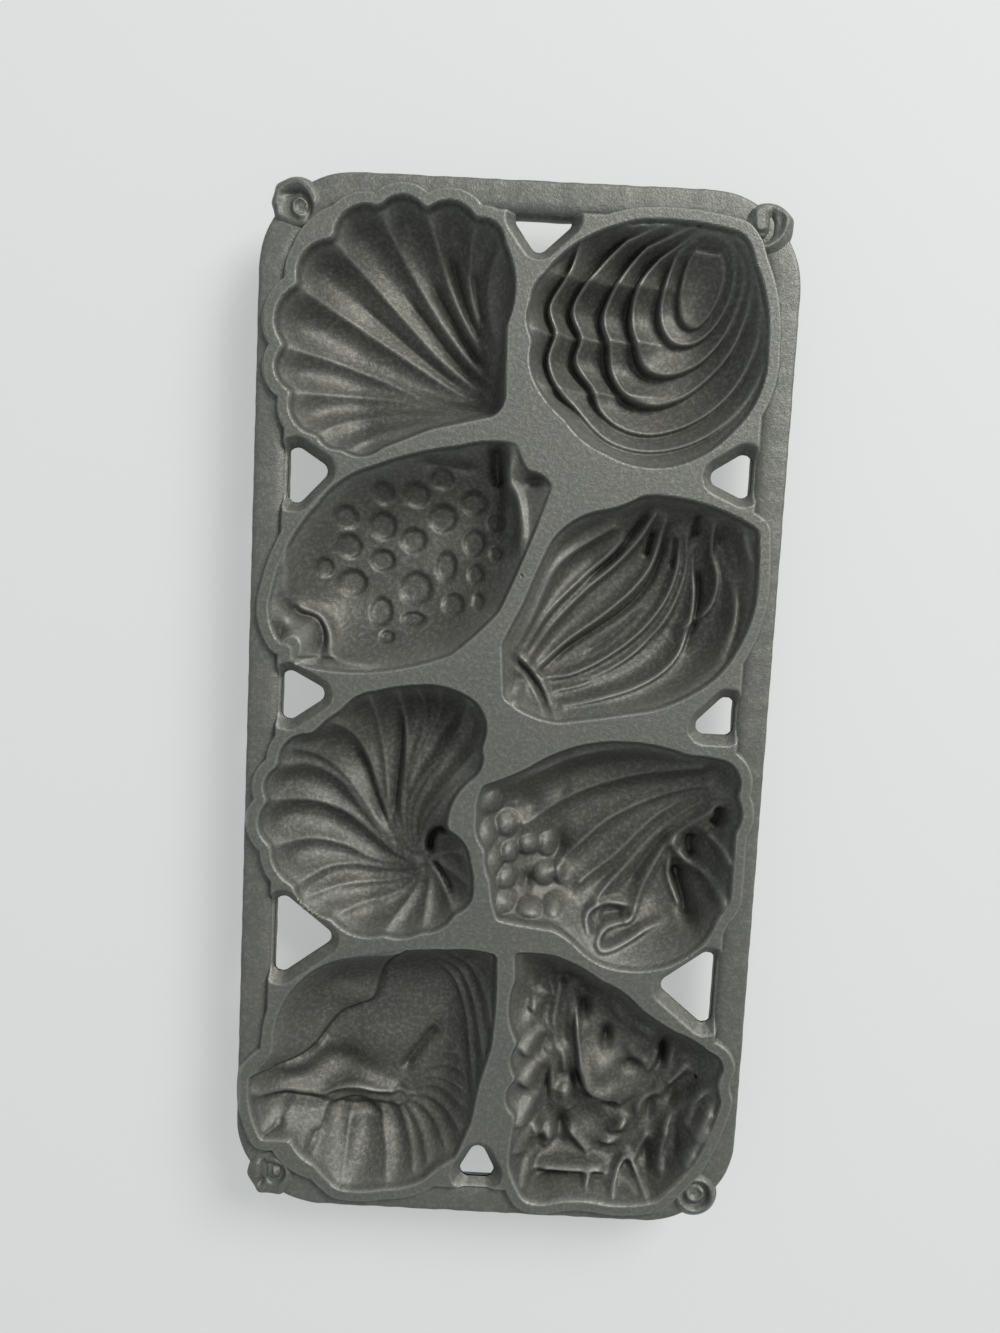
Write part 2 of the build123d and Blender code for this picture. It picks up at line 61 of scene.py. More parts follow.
pan_width = (cad_high.x - cad_low.x) / mm
pan_length = (cad_high.y - cad_low.y) / mm
land_top = cad_high.z / mm
land_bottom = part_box("land")[0].z / mm
bar_bottom, bar_top = (corner.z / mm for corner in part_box("rim_frame"))
bar_width = 11.6
corner_radius = 32.0
bar_square = 0.30         # the section of the bar's outer half: 1 would be round, and 0 square
bar_round = 0.75          # the same for its inner half
bar_proud = 0.5           # how far the cast bar stands above its solid
bar_clear = 1.6           # iron between the bar's surface and a cup's edge
bar_least = 0.3           # how far in from the pan's outline a pressed bar stays
bar_step = 1.6            # length of the bar between two of its sections
bar_sides = 32            # points round each section
bar_waves = [(0.12, 0.37, 0.0), (0.08, 0.83, 1.0)]    # unevenness: height, pace and start of each wave

# The land's edges
lip_band = 3.5            # width of the lip round each cup, on its free side
bar_cover = 0.8           # how far the land reaches over the bar where no cup is near
skirt_width = 2.5         # plan width of the steep slope from a lip down to the bar
skirt_slope = 2.3
opening_margin = 3.4      # plan width of the slope round a through opening
opening_slope = 1.25

# The cups
wall_slope = 3.0          # the steepest drop of a cup's wall for each millimetre in from the lip
wall_blend = 1.5          # how softly a wall turns into the floor
ridge_round = 0.35        # how blunt the ridges between flutes are
line_taper = 5            # how fast a soft line fades at its ends
outline_ease = 1.1        # how softly an outline turns at its corners
cup_edge = 1.0            # iron beside a cavity at the land's underside
belly_reach = 18.0        # plan width over which a cup's outside curves down to its bottom
bowl_easing = 10          # how often the distance to the lip is softened, so that bowls have no creases
bowl_spread = 2.0         # how widely each time, in grid steps
depth_spread = 0.8        # the same for the finished depth
least_depth = 0.3
deepest = 23.0
lip_round = (-0.2, 0.8)   # distances in from the lip between which its edge turns down
under_shade = 0.5        # painted shade on the underside: how dark it is, where 1 is the darkest
opening_wall_shade = 0.3         # painted shade on the walls of the through openings, in the same measure

# The grids that the casting's two sides are drawn on
ring_step = 0.8
top_step = 0.45
under_step = 0.9
grid_inset = 0.6          # how far inside the pan's outline the grids stop
line_slack = 0.02         # how near to a line a place counts as on it, in grid steps
near = 7                  # how far round a cup or an opening its distance is worked out
far = 50.0                # stands for the distance where no cup or opening is near
arc_cuts = 10             # points along each arc of an outline
corner_cuts = 7           # points round each corner of an opening
bar_corner_cuts = 24      # the same for a corner of the bar
span_cuts = 6             # points along a smooth line from each of its corners to the next
least_slope = 0.5         # a distance that climbs less than this is taken to climb so much
least_turn = 0.01         # an arc that turns less than this is drawn straight
tiny = 1e-9

# Outlines are rings of corners, anticlockwise: x, y, and the outward bulge of the arc to the
# next corner.
outlines = {
    "scallop_cup": [
        (-7, 104, 0.6), (-5.8, 110, 0), (-6.4, 131, 3.2), (-8.4, 157.4, 3), (-18.1, 164.5, 4.2),
        (-34.5, 166.6, 4.2), (-49.9, 166.6, 5), (-64.5, 155.9, 4.8), (-75.6, 140.9, 5.2),
        (-79.5, 121.3, 4.4), (-76.6, 106.6, 4.4), (-67.7, 92.7, 1.8), (-59.5, 88.4, 2.6), (-45.6, 89.4, 0),
        (-29.9, 96.3, 0), (-12, 100.9, 0.8),
    ],
    "oyster_cup": [
        (1.6, 127, 2), (4.9, 110.6, 0.6), (13.4, 102, 1.4), (27.7, 91.3, 1.8), (49.1, 87.9, 2),
        (69.1, 99.9, 3.6), (79, 128.4, 1.8), (72.7, 155.6, 0.8), (68, 164, 1.4), (34.9, 166.6, 1.3),
        (13.4, 157.7, 0.6), (4.5, 148.4, 1.3), (0.2, 139, 1.6),
    ],
    "cowrie_cup": [
        (-73.8, 22.4, 1), (-72.7, 16.3, 0.8), (-49.1, 14.6, 1.2), (-19.9, 21.9, 0.6), (-4.1, 37.7, 0.6),
        (11.2, 79.9, 1.6), (3, 84.9, -0.4), (-1.3, 93.6, 1.2), (-20.6, 92, 1), (-49.1, 84, 2),
        (-67, 70.6, 2.3), (-81.3, 41.3, 2.4), (-77.7, 22.9, 0),
    ],
    "bubble_cup": [
        (-3.4, 27.3, 0), (-1.9, 8.7, 1.8), (17.7, 0.9, 0.2), (49.1, 6.6, 1.3), (69.9, 18.7, 2.6),
        (81.6, 48, 0.3), (80.6, 69.4, 2), (49.1, 79.1, 0.3), (40.6, 78.7, -0.9), (26.3, 73.1, 1.7),
        (11.4, 62.3, 0.3), (3.3, 41.6, 0),
    ],
    "spiral_cup": [
        (-31, 12, 0.4), (-45, 9.2, 1.6), (-56.5, 2, 0.6), (-66, -6.5, 4.2), (-77.5, -18.5, 3),
        (-80.7, -31, 4), (-79, -47, 2.6), (-70.6, -60.5, 3.6), (-57.5, -71.3, 3.2), (-39, -76.5, 1.6),
        (-25.7, -75, 2.2), (-14.5, -68, 2.2), (-8.2, -58, 0.4), (-9.6, -49, 2.2), (-18.2, -37.5, -2.2),
        (-11, -20.5, 2.2), (-7.8, -9, 2.8), (-10.7, 7.3, 2),
    ],
    "conch_cup": [
        (-7.4, -21.5, 0.8), (-9, -33, 1.5), (-5.5, -44.5, 0.8), (-3.3, -55, 0.6), (0, -69, 0.2),
        (19.5, -71.5, -0.6), (29, -78, 1.6), (45, -84.6, 1.8), (66, -79.5, 1.8), (76.5, -64, 0.5),
        (80.4, -58, 0), (80.4, -34, 2), (80.2, -21, 2.6), (76, -8.8, 0.5), (63, -7.5, 1.5), (35, -4, 2),
        (8, -14.5, -0.3),
    ],
    "whelk_cup": [
        (-36, -81.6, 0.3), (-56, -86, 5.5), (-76.5, -116, 0), (-77, -122, 1), (-84.5, -130, 1.8),
        (-79.5, -153.5, 0), (-69, -153.2, 1.2), (-61, -161.5, 0.3), (-52, -170.3, 1), (-35.5, -169.5, 1),
        (-21, -165.5, -0.6), (-10, -156.5, 0), (-5, -143, 0), (-3, -129.5, 0), (0.8, -115, 0.6),
        (1, -81, 0.8), (-15, -79.8, 0.3),
    ],
    "murex_cup": [
        (6.5, -79.8, 0), (7.3, -90, 2.8), (9.3, -113, 2.4), (9.5, -126, 3.8), (10, -140, 0.5),
        (8.5, -158.5, 0.6), (14.5, -171, 1.2), (26, -171, -1), (44, -171, 0.8), (62, -169, 0.3),
        (74, -155, 1), (82.6, -130, -1.6), (82.6, -119, 1.6), (77, -112, 0.8), (65, -105.5, -0.3),
        (52, -97.5, 1.2), (38, -88.4, 1), (20, -79.8, 0.3),
    ],
}
opening_corners = [
    [(-77.4, 91.5), (-77.4, 66), (-62.5, 82.2)],
    [(-77.4, 16), (-77.4, -5.5), (-60, 7)],
    [(-77.4, -62), (-77.4, -95.5), (-55.5, -79)],
    [(77.4, 96.5), (60.5, 85.5), (77.4, 78)],
    [(77.4, 17), (60.5, -0.6), (77.4, -0.6)],
    [(77.4, -74.5), (57, -90), (77.4, -106.5)],
    [(-8.5, 168.6), (2.2, 154), (17.5, 168.6)],
    [(-2.4, -150), (-10.5, -165), (5.6, -165)],
]
opening_round = 3.0


# Plane geometry

def arc_points(start, end, bulge):
    """Points along the arc from one corner to the next, without the last."""
    along_x, along_y = end[0] - start[0], end[1] - start[1]
    chord = hypot(along_x, along_y)
    turn = 4 * atan2(2 * bulge, chord)
    if abs(turn) < least_turn:
        return [start[:2]]
    radius = chord / 2 / sin(turn / 2)
    points = []
    for k in range(arc_cuts):
        angle = turn * (k / arc_cuts - 0.5)
        forward = radius * sin(angle) / chord
        outward = radius * (cos(angle) - cos(turn / 2)) / chord
        points.append(((start[0] + end[0]) / 2 + forward * along_x + outward * along_y,
                       (start[1] + end[1]) / 2 + forward * along_y - outward * along_x))
    return points


def averaged(values, spread, span, axis=0):
    """Each value averaged with its neighbours along one axis, the nearest counting most."""
    steps = range(-span, span + 1)
    weights = np.exp(-0.5 * (np.array(steps) / spread) ** 2)
    return sum(weight * np.roll(values, k, axis=axis) for k, weight in zip(steps, weights / weights.sum()))


def ring_of(outline):
    """An outline as a closed ring of close, even points, eased at its corners."""
    points = []
    for i, corner in enumerate(outline):
        points += arc_points(corner, outline[(i + 1) % len(outline)], corner[2])
    points = np.array(points + points[:1])
    walked = np.concatenate([[0], np.cumsum(np.hypot(*np.diff(points, axis=0).T))])
    count = int(walked[-1] / ring_step)
    at = np.arange(count) / count * walked[-1]
    ring = np.column_stack([np.interp(at, walked, points[:, k]) for k in (0, 1)])
    return averaged(ring, outline_ease / ring_step, span=8)


def rounded_ring(corners, radius):
    """A ring through three or more corners, each rounded to the radius."""
    points = []
    for i, corner in enumerate(corners):
        corner = np.array(corner)
        back = np.array(corners[i - 1]) - corner
        ahead = np.array(corners[(i + 1) % len(corners)]) - corner
        back, ahead = back / np.hypot(*back), ahead / np.hypot(*ahead)
        half = np.arccos(back @ ahead) / 2
        middle = (back + ahead) / np.hypot(*(back + ahead))
        centre = corner + middle * radius / sin(half)
        first = corner + back * radius / np.tan(half) - centre
        last = corner + ahead * radius / np.tan(half) - centre
        for share in np.linspace(0, 1, corner_cuts):
            spoke = first * (1 - share) + last * share
            points.append(centre + spoke / np.hypot(*spoke) * radius)
    return np.array(points)


def distance_to_path(x, y, path, closed=False):
    """Distance to a path, the share of the way along it, and the side: positive is its left."""
    best = np.full(x.shape, np.inf)
    share = np.zeros(x.shape)
    side = np.ones(x.shape)
    ends = np.roll(path, -1, axis=0) if closed else path[1:]
    for k, (start, end) in enumerate(zip(path, ends)):
        run = end - start
        length = max(run @ run, tiny)
        t = np.clip(((x - start[0]) * run[0] + (y - start[1]) * run[1]) / length, 0, 1)
        off_x, off_y = x - start[0] - t * run[0], y - start[1] - t * run[1]
        squared = off_x ** 2 + off_y ** 2
        nearer = squared < best
        best = np.where(nearer, squared, best)
        share = np.where(nearer, (k + t) / len(ends), share)
        side = np.where(nearer, np.sign(run[0] * off_y - run[1] * off_x), side)
    return np.sqrt(best), share, side


def signed_distance(x, y, ring):
    """Distance to a closed ring, negative inside it."""
    distance = distance_to_path(x, y, ring, closed=True)[0]
    inside = np.zeros(x.shape, bool)
    for start, end in zip(ring, np.roll(ring, -1, axis=0)):
        spans = (start[1] > y) != (end[1] > y)
        rise = end[1] - start[1] or tiny
        inside ^= spans & (x < (end[0] - start[0]) * (y - start[1]) / rise + start[0])
    return np.where(inside, -distance, distance)


def smooth_path(points):
    """A smooth curve through the points."""
    points = np.array(points, float)
    padded = np.vstack([2 * points[0] - points[1], points, 2 * points[-1] - points[-2]])
    curve = []
    for a, b, c, d in zip(padded, padded[1:], padded[2:], padded[3:]):
        for t in np.arange(span_cuts) / span_cuts:
            curve.append(0.5 * (2 * b + (c - a) * t + (2 * a - 5 * b + 4 * c - d) * t ** 2
                                + (3 * b - a - 3 * c + d) * t ** 3))
    curve.append(points[-1])
    return np.array(curve)


def closed_path(points):
    """A smooth closed curve through the points."""
    loop = smooth_path(points[-2:] + points + points[:2])
    return loop[2 * span_cuts:-2 * span_cuts]


def smooth_step(low, high, value):
    """0 below low, 1 above high, and an S curve between."""
    t = np.clip((value - low) / (high - low), 0, 1)
    return t * t * (3 - 2 * t)


def soft_min(a, b, blend):
    """The lower of two fields, blended where they are close."""
    h = np.clip(0.5 + (b - a) / (2 * blend), 0, 1)
    return b * (1 - h) + a * h - blend * h * (1 - h)


# Sculpting tools, all in millimetres of depth below the land

def bowl(inside, depth, reach, power=2.2):
    """Depth at a distance inside the lip: it falls away at once and levels out at the reach."""
    return depth * (1 - (1 - np.clip(inside / reach, 0, 1)) ** power)


def tapered(share, least):
    """1 along most of a line, and down to the least at its two ends."""
    return np.minimum(1, line_taper * np.minimum(share, 1 - share) + least)


def stroke(x, y, points, width):
    """Strength of a soft line through the points: 1 on it, and 0 a few widths away."""
    distance, share, _ = distance_to_path(x, y, smooth_path(points))
    return np.exp(-(distance / width) ** 2) * tapered(share, 0.25)


def cliff(x, y, points, steep, gentle):
    """Strength of a fold's edge: steep on the right of its line, and gentle on the left."""
    distance, share, side = distance_to_path(x, y, smooth_path(points))
    strength = np.where(side > 0, np.exp(-distance / gentle), np.exp(-(distance / steep) ** 2))
    return strength * tapered(share, 0.2)


def blob(x, y, centre, radius_x, radius_y):
    """A soft round rise, 1 at its centre."""
    return np.exp(-((x - centre[0]) / radius_x) ** 2 - ((y - centre[1]) / radius_y) ** 2)


def carved(x, y, lines, dents=()):
    """Depth of all of a shell's lines and dents."""
    depth = np.zeros(x.shape)
    for points, drop, width in lines:
        depth += drop * stroke(x, y, points, width)
    for centre, radius_x, radius_y, drop in dents:
        depth += drop * blob(x, y, centre, radius_x, radius_y)
    return depth


def fluted(x, y, ridges, share, most, rise):
    """Depth of concave flutes between ridges that rise above the bowl: deepest half way between two."""
    nearest, second = np.full(x.shape, np.inf), np.full(x.shape, np.inf)
    for ridge in ridges:
        distance = distance_to_path(x, y, smooth_path(ridge))[0]
        second = np.minimum(second, np.maximum(nearest, distance))
        nearest = np.minimum(nearest, distance)
    width = nearest + second
    place = np.sqrt(nearest ** 2 + ridge_round ** 2) / (width + ridge_round)
    return np.minimum(share * width, most) * (1 - (1 - 2 * np.minimum(place, 0.5)) ** 2) - rise


# The eight shells. Each takes plan places and the distance inside the lip, and gives depth.
# A line in their tables is its points, its depth and its width. A dent is its centre, its two
# radii and its depth. Where a depth is negative, the line or the dent is a rise.

scallop_hinge = (-8.0, 105.0)
scallop_ridges = [
    [(-8.4, 157.4), (-12.2, 152), (-13.6, 145), (-12.6, 136), (-9.6, 125)],
    [(-18.1, 164.5), (-19.9, 156), (-19.6, 147), (-16.8, 134), (-11.5, 121)],
    [(-34.5, 166.6), (-30.8, 157), (-27, 146.5), (-20.5, 133.5), (-11.5, 118)],
    [(-49.9, 166.6), (-43.5, 155.5), (-35.5, 143.5), (-25.5, 129.5), (-12, 114.5)],
    [(-64.5, 155.9), (-52.5, 145.5), (-41.5, 134.5), (-28, 121.5), (-12.5, 110.5)],
    [(-75.6, 140.9), (-60.5, 133.3), (-45.5, 124.6), (-29, 115), (-13, 107)],
    [(-79.5, 121.3), (-65, 119.3), (-48, 114), (-30.5, 107.2), (-14, 104)],
    [(-76.6, 106.6), (-63, 108), (-47.5, 108), (-30.5, 105.4), (-15, 103.4)],
    [(-67.7, 93.5), (-60, 98.6), (-48, 101.4), (-33, 102.4), (-17, 102)],
    [(-59.5, 86.4), (-52.5, 92.6), (-42, 96.2), (-30, 99.2), (-18, 100.4)],
]
scallop_lines = [
    ([(-42, 143.5), (-33.5, 133.5), (-24, 122.5), (-14.5, 113.5)], 1.8, 1.3),
    ([(-33.5, 148.5), (-27, 138), (-20.5, 128), (-13.5, 119.5)], 2.6, 1.5),
    ([(-27, 157.5), (-24, 147.5), (-19.5, 137), (-14, 127)], 2.6, 1.4),
    ([(-58, 140.5), (-46, 131), (-33, 121), (-20, 111.5)], 1.2, 1.3),
    ([(-19, 152), (-17.6, 143), (-14.6, 133)], 2.0, 1.3),
]


def scallop_depth(x, y, inside):
    """Flutes between sharp ridges, which fan out from the hinge."""
    from_hinge = np.hypot(x - scallop_hinge[0], y - scallop_hinge[1])
    floor = 0.8 + bowl(inside, depth=18.0, reach=27.0 - 15.0 * np.exp(-(from_hinge / 26.0) ** 2))
    flutes = fluted(x, y, scallop_ridges, share=0.25, most=4.6, rise=2.0)
    return floor + flutes * smooth_step(0.0, 6.0, inside) + carved(x, y, scallop_lines)


oyster_rings = [
    [(19.7, 164), (12.6, 149.5), (7.2, 140), (9.7, 131.2), (7.6, 122.5), (11.3, 112.8), (18, 106.8),
     (28.8, 96.6), (43, 93.7), (58.8, 97.8), (71.3, 107.8), (78, 121.2), (78.2, 133), (74.5, 148),
     (69.5, 160.5), (58, 164.6), (40, 165.6)],
    [(31.5, 161.5), (22.4, 152.3), (15.1, 141.2), (18.4, 131.2), (17.2, 123.5), (23, 115), (26.5, 107),
     (34.7, 101.2), (46, 100.2), (60, 105.8), (70.5, 116), (75.6, 129), (75.6, 142), (72.6, 154), (67, 162.4),
     (56.5, 166), (43.5, 165.8)],
    [(38.5, 160.5), (30.6, 151), (25.9, 139.5), (28.4, 129), (30.1, 120.3), (35.5, 112.8), (45, 110.2),
     (56, 114.5), (66.3, 124.5), (71.4, 135), (72.8, 147), (70.6, 157), (64, 164), (51, 165.2)],
    [(43.5, 158), (36.9, 149.5), (35.5, 139), (38, 129), (42.2, 122.4), (50, 120.9), (59.7, 125.3),
     (67, 134.5), (70.3, 146.5), (68.8, 156.5), (62, 163.2), (53, 163.6)],
    [(48.6, 159), (45.6, 148.5), (45.5, 138.7), (49.7, 132), (56.5, 131.4), (63, 136.4), (67.2, 145.5),
     (67.2, 155.5), (62.5, 162.4), (54.5, 163.2)],
    [(54, 159.5), (51.2, 150), (52.2, 140.5), (57, 136.6), (62.2, 142), (64.6, 150.5), (62.6, 158.5)],
]
oyster_fall = 2.3         # depth of a crevice below its crest on the right
oyster_left_fall = 3.4    # how much deeper it is on the left
oyster_crevice = 0.86     # how far across its terrace a crevice lies
oyster_narrow = 5.0       # width of a terrace below which its crevice gets shallower
oyster_middle = 9.0       # width of the innermost terrace
oyster_lobe = 18.0        # width of one lobe along the left side
oyster_pinch = 131.0      # where two lobes meet
oyster_lobe_fall = 4.2    # depth between two lobes


def oyster_depth(x, y, inside):
    """Growth terraces round the umbo, each one a crest above a crevice, lobed on the left."""
    left = smooth_step(57.0, 34.0, x) * smooth_step(101.0, 116.0, y)
    fall = oyster_fall + oyster_left_fall * left
    floor = bowl(inside, depth=16.0, reach=27.0) - 0.6
    within = inside
    for points in oyster_rings + [None]:
        last = points is None
        reach = np.full(x.shape, oyster_middle) if last else signed_distance(x, y, closed_path(points))
        place = np.clip(within / np.maximum(within + reach, 0.01), 0, 1)
        saw = place if last else np.minimum(place / oyster_crevice, (1 - place) / (1 - oyster_crevice))
        narrow = np.minimum(1, (within + np.maximum(reach, 0)) / oyster_narrow)
        floor = floor + fall * narrow * np.where((within > 0) & (reach > 0), saw, 0)
        within = np.maximum(-reach, 0)
    lobes = np.abs(np.sin(pi * (y - oyster_pinch) / oyster_lobe))
    return floor + oyster_lobe_fall * (lobes - 0.75) * left * smooth_step(0.0, 4.0, inside)


cowrie_spots = [
    (-58.5, 67, 4.2, 4.2), (-46.5, 65, 5, 5), (-35.8, 60.5, 4.8, 4.6), (-46, 75.8, 4, 4),
    (-35, 76, 4.9, 4.4), (-26.2, 81.6, 4.4, 3.6), (-25.8, 68.6, 5.3, 5), (-15.2, 74.3, 4.8, 4.2),
    (-14.2, 60.4, 4.2, 5), (-6.8, 67.6, 3.6, 3.4), (-6.4, 57, 2.6, 2.8), (-57.8, 57.4, 4.4, 4.6),
    (-46.3, 53, 4.6, 4), (-66, 49.6, 3.2, 3.4), (-56.6, 44.7, 5.4, 4.8), (-46, 34.8, 4.2, 5.6),
    (-34.2, 43.8, 6, 6.2), (-23.8, 51.8, 3.8, 5.8), (-13.2, 49.6, 3.2, 3.8), (-20.6, 38.8, 4.2, 4.2),
    (-11.8, 40.4, 2.2, 3.2), (-34.4, 33, 4.6, 2.6), (-43, 26.4, 2.8, 2.4),
]
cowrie_spot_depth = 1.5
cowrie_spot_edge = (0.679, 1.0864)    # where a spot's edge starts and ends, as shares of its radii
cowrie_ridge = [(-78, 56), (-76.6, 47), (-76.4, 39.6), (-73.3, 36), (-68.8, 34.5), (-64.8, 31.8),
                (-61.8, 27), (-60.8, 21.5), (-58, 18.6), (-51, 17.6), (-41, 17.6)]


cowrie_lines = [
    ([(-77.5, 38.5), (-73.5, 33.5), (-68, 31.5), (-65.4, 26.5), (-65, 18.5)], 4.5, 2.0),
    ([(-8.2, 93.5), (-7.4, 86), (-6, 79.5)], 4.5, 2.4),
    ([(-3, 90), (-3.4, 82), (0, 76), (1.8, 66), (1.4, 58)], -3.0, 1.8),
    ([(-34, 86.5), (-24, 85.8), (-14, 85)], 1.4, 1.6),
]
cowrie_dents = [
    ((-72.6, 24.2), 5.0, 5.6, -4.0), ((-79, 27), 3.0, 3.4, 3.5), ((5, 82), 3.2, 2.2, 3.5),
]


def cowrie_depth(x, y, inside):
    """A smooth bowl with round spots, and a notch at each end."""
    floor = bowl(inside, depth=19.0, reach=27.0, power=2.0)
    for cx, cy, radius_x, radius_y in cowrie_spots:
        away = np.hypot((x - cx) / radius_x, (y - cy) / radius_y)
        floor = floor + cowrie_spot_depth * (1 - smooth_step(*cowrie_spot_edge, away))
    distance, _, side = distance_to_path(x, y, smooth_path(cowrie_ridge))
    floor = floor - 2.0 * np.exp(-(distance / 1.6) ** 2) * smooth_step(-40.0, -56.0, x)
    shelf = smooth_step(-1.0, 1.6, -distance * side) * (x < -38) * (y > 19)
    beyond = smooth_step(-7.0, -2.5, x) * smooth_step(60.0, 72.0, y)
    floor = floor * (1 - 0.30 * shelf) * (1 - 0.38 * beyond)
    return floor + carved(x, y, cowrie_lines, cowrie_dents)


bubble_ridges = [
    [(0.6, 31), (3.2, 43), (7.4, 54.5), (13.5, 64.5), (22, 70)],
    [(2.2, 26.5), (7.8, 39), (13, 52), (20.5, 59.8), (33, 68.2)],
    [(5, 25), (11.5, 36.8), (20.5, 47), (29.5, 55.5), (37, 63.5)],
    [(6, 20.8), (13.5, 33), (24.5, 45.6), (34.5, 55), (42.5, 64.5), (46.5, 72.5)],
    [(9.9, 18.4), (20, 28.4), (31.5, 37.5), (42, 47.5), (48.5, 58), (50.5, 71)],
    [(12.2, 15), (21.5, 16.6), (33.5, 22.8), (45, 32.2), (53, 43.5), (56.6, 55), (56, 66)],
    [(16, 10.8), (26, 14), (38.5, 20.5), (49, 30), (56.5, 43), (59.6, 55.5), (58.5, 67)],
    [(19, 6.4), (32, 9.6), (46, 14.8), (56, 22.4), (62, 34), (63.2, 47), (61.2, 62)],
    [(43, 4.2), (55, 9.4), (66, 17.2), (73.5, 27.5), (76.2, 40), (75, 52), (71, 63)],
    [(60.5, 35), (68, 42), (70, 52), (67.5, 62), (66.5, 70)],
    [(81.5, 45), (80, 56), (77.6, 63.5), (75.8, 71)],
]
bubble_lines = [
    ([(45, 74.5), (41.8, 69.5), (38.6, 64.5), (35, 59), (30.5, 54.5), (25, 50)], 3.0, 1.2),
    ([(11.4, 17.2), (20.5, 25.6), (30.8, 33), (40.5, 40.6), (47.8, 50), (51, 60), (52.6, 69)], 2.6, 1.2),
    ([(61, 27.5), (64.2, 38), (65.2, 47.5), (63.9, 56)], 3.0, 1.4),
    ([(61.4, 74), (61.6, 70), (61.8, 66.5)], 2.6, 1.1),
    ([(47.4, 68), (46.8, 63), (46.2, 59)], 3.0, 0.9),
    ([(55.2, 66), (55.6, 61), (55, 55)], 2.5, 0.7),
    ([(70.4, 69), (71.6, 62), (74.4, 54.5), (76.7, 44.5), (76.4, 36), (73, 26)], 2.0, 1.0),
    ([(27, 24), (36, 30.5), (45, 40)], 1.0, 0.8),
    ([(20, 12.4), (33, 17), (44.5, 24.5), (53, 34.5)], 1.6, 0.7),
    ([(3, 23.5), (7.5, 18.5), (12, 12.5), (16.5, 3)], -2.4, 1.6),
    ([(0.5, 20), (5.5, 15.5), (9.5, 9.5), (13, 3)], -1.6, 1.1),
    ([(1, 22.5), (6.4, 17), (10.8, 10.8), (14.6, 3)], 1.2, 0.8),
]
bubble_dents = [
    ((3.6, 11.6), 1.8, 2.0, -1.9), ((2.3, 7.4), 1.6, 1.6, -1.9),
]


def bubble_depth(x, y, inside):
    """Narrow ribs sweep from a collar to the wide end."""
    ribs = fluted(x, y, bubble_ridges, share=0.34, most=2.8, rise=1.4)
    for ridge in bubble_ridges[1:]:
        ribs = ribs - 1.3 * cliff(x, y, ridge, steep=0.9, gentle=2.6)
    floor = bowl(inside, depth=18.5, reach=25.0) + ribs * smooth_step(1.0, 5.0, inside)
    return floor + carved(x, y, bubble_lines, bubble_dents)


spiral_ridges = [
    [(-70.6, -60.5), (-62, -57), (-52, -56), (-41, -57.2), (-29, -56)],
    [(-79, -47), (-68, -46.6), (-55.5, -49.5), (-44.5, -54.4), (-29, -55)],
    [(-80.7, -31), (-70, -32.6), (-56, -37.3), (-45, -45.3), (-37, -51.5), (-29, -54)],
    [(-77.5, -18.5), (-67.5, -19.8), (-57, -27), (-48.5, -37.5), (-39.5, -47.8), (-30, -53)],
    [(-72, -13), (-64, -16.8), (-55.5, -25.5), (-47, -37), (-39, -46.5)],
    [(-61, -1.5), (-53.5, -7.5), (-48.2, -17.5), (-44.8, -29), (-40.5, -40), (-34.5, -49.5)],
    [(-47.5, 8.5), (-45.6, 0), (-43, -15), (-41, -30), (-38, -40.5), (-33.5, -48.5)],
    [(-37.5, 9.5), (-35.6, -5), (-35.2, -20), (-36, -32), (-35, -42), (-32.5, -49)],
    [(-31, 11), (-28.6, 2), (-29.5, -7), (-32.5, -17), (-34.2, -27)],
    [(-23.5, 10.5), (-23.4, 2), (-26.8, -7), (-31, -17), (-33.6, -26)],
    [(-12.5, 8.5), (-16, -3), (-21.5, -13.5), (-28.5, -22.5), (-33, -32), (-33.2, -41.5), (-31, -49.5)],
    [(-16.5, -7.5), (-21.5, -16), (-27.5, -25.5), (-31, -34.5), (-31.3, -42), (-29.5, -49)],
    [(-7.8, -9), (-14, -16), (-22, -26.5), (-28, -37), (-28.6, -47)],
    [(-11, -20.5), (-16.5, -24), (-23, -32.5), (-27, -41), (-27.2, -48)],
    [(-57.5, -71.3), (-49, -68.4), (-40, -66.4), (-33, -63.2), (-27.8, -57.6)],
    [(-66, -65), (-56, -62.4), (-45, -61.9), (-35.5, -60.4), (-28.5, -57)],
    [(-39, -76.5), (-35.4, -71.4), (-31, -65.8), (-27, -58.5)],
    [(-25.7, -75), (-25.2, -68), (-24.8, -61), (-25, -56.5)],
    [(-14.5, -68), (-17.4, -63), (-21, -57.2), (-24.2, -53)],
    [(-8.2, -58), (-13.5, -56.2), (-19, -53.8), (-23.8, -51.8)],
    [(-9.6, -49), (-14.5, -46.8), (-19.5, -48.8), (-23.8, -50.8)],
]
spiral_lines = [
    ([(-53.5, -13.5), (-49, -22.5), (-45, -33), (-41, -42)], 2.5, 1.6),
    ([(-37.8, 2), (-37.6, -14), (-38.4, -28), (-39.5, -42)], 2.5, 1.5),
    ([(-18.5, -39.5), (-22.8, -41.5), (-24.8, -45.5), (-24.8, -50)], 5.0, 1.4),
    ([(-23.4, -52.4), (-20, -57), (-16, -63)], 3.0, 1.1),
]
spiral_dents = [
    ((-27, 1), 9.0, 9.0, 3.0), ((-27, -53), 9.0, 7.0, -4.0),
]


def spiral_depth(x, y, inside):
    """Flutes swirl into an off-centre whorl, with a small coil beside it."""
    flutes = fluted(x, y, spiral_ridges, share=0.30, most=4.2, rise=1.8)
    floor = bowl(inside, depth=19.0, reach=24.0) + flutes * smooth_step(0.5, 5.0, inside)
    return floor + carved(x, y, spiral_lines, spiral_dents)


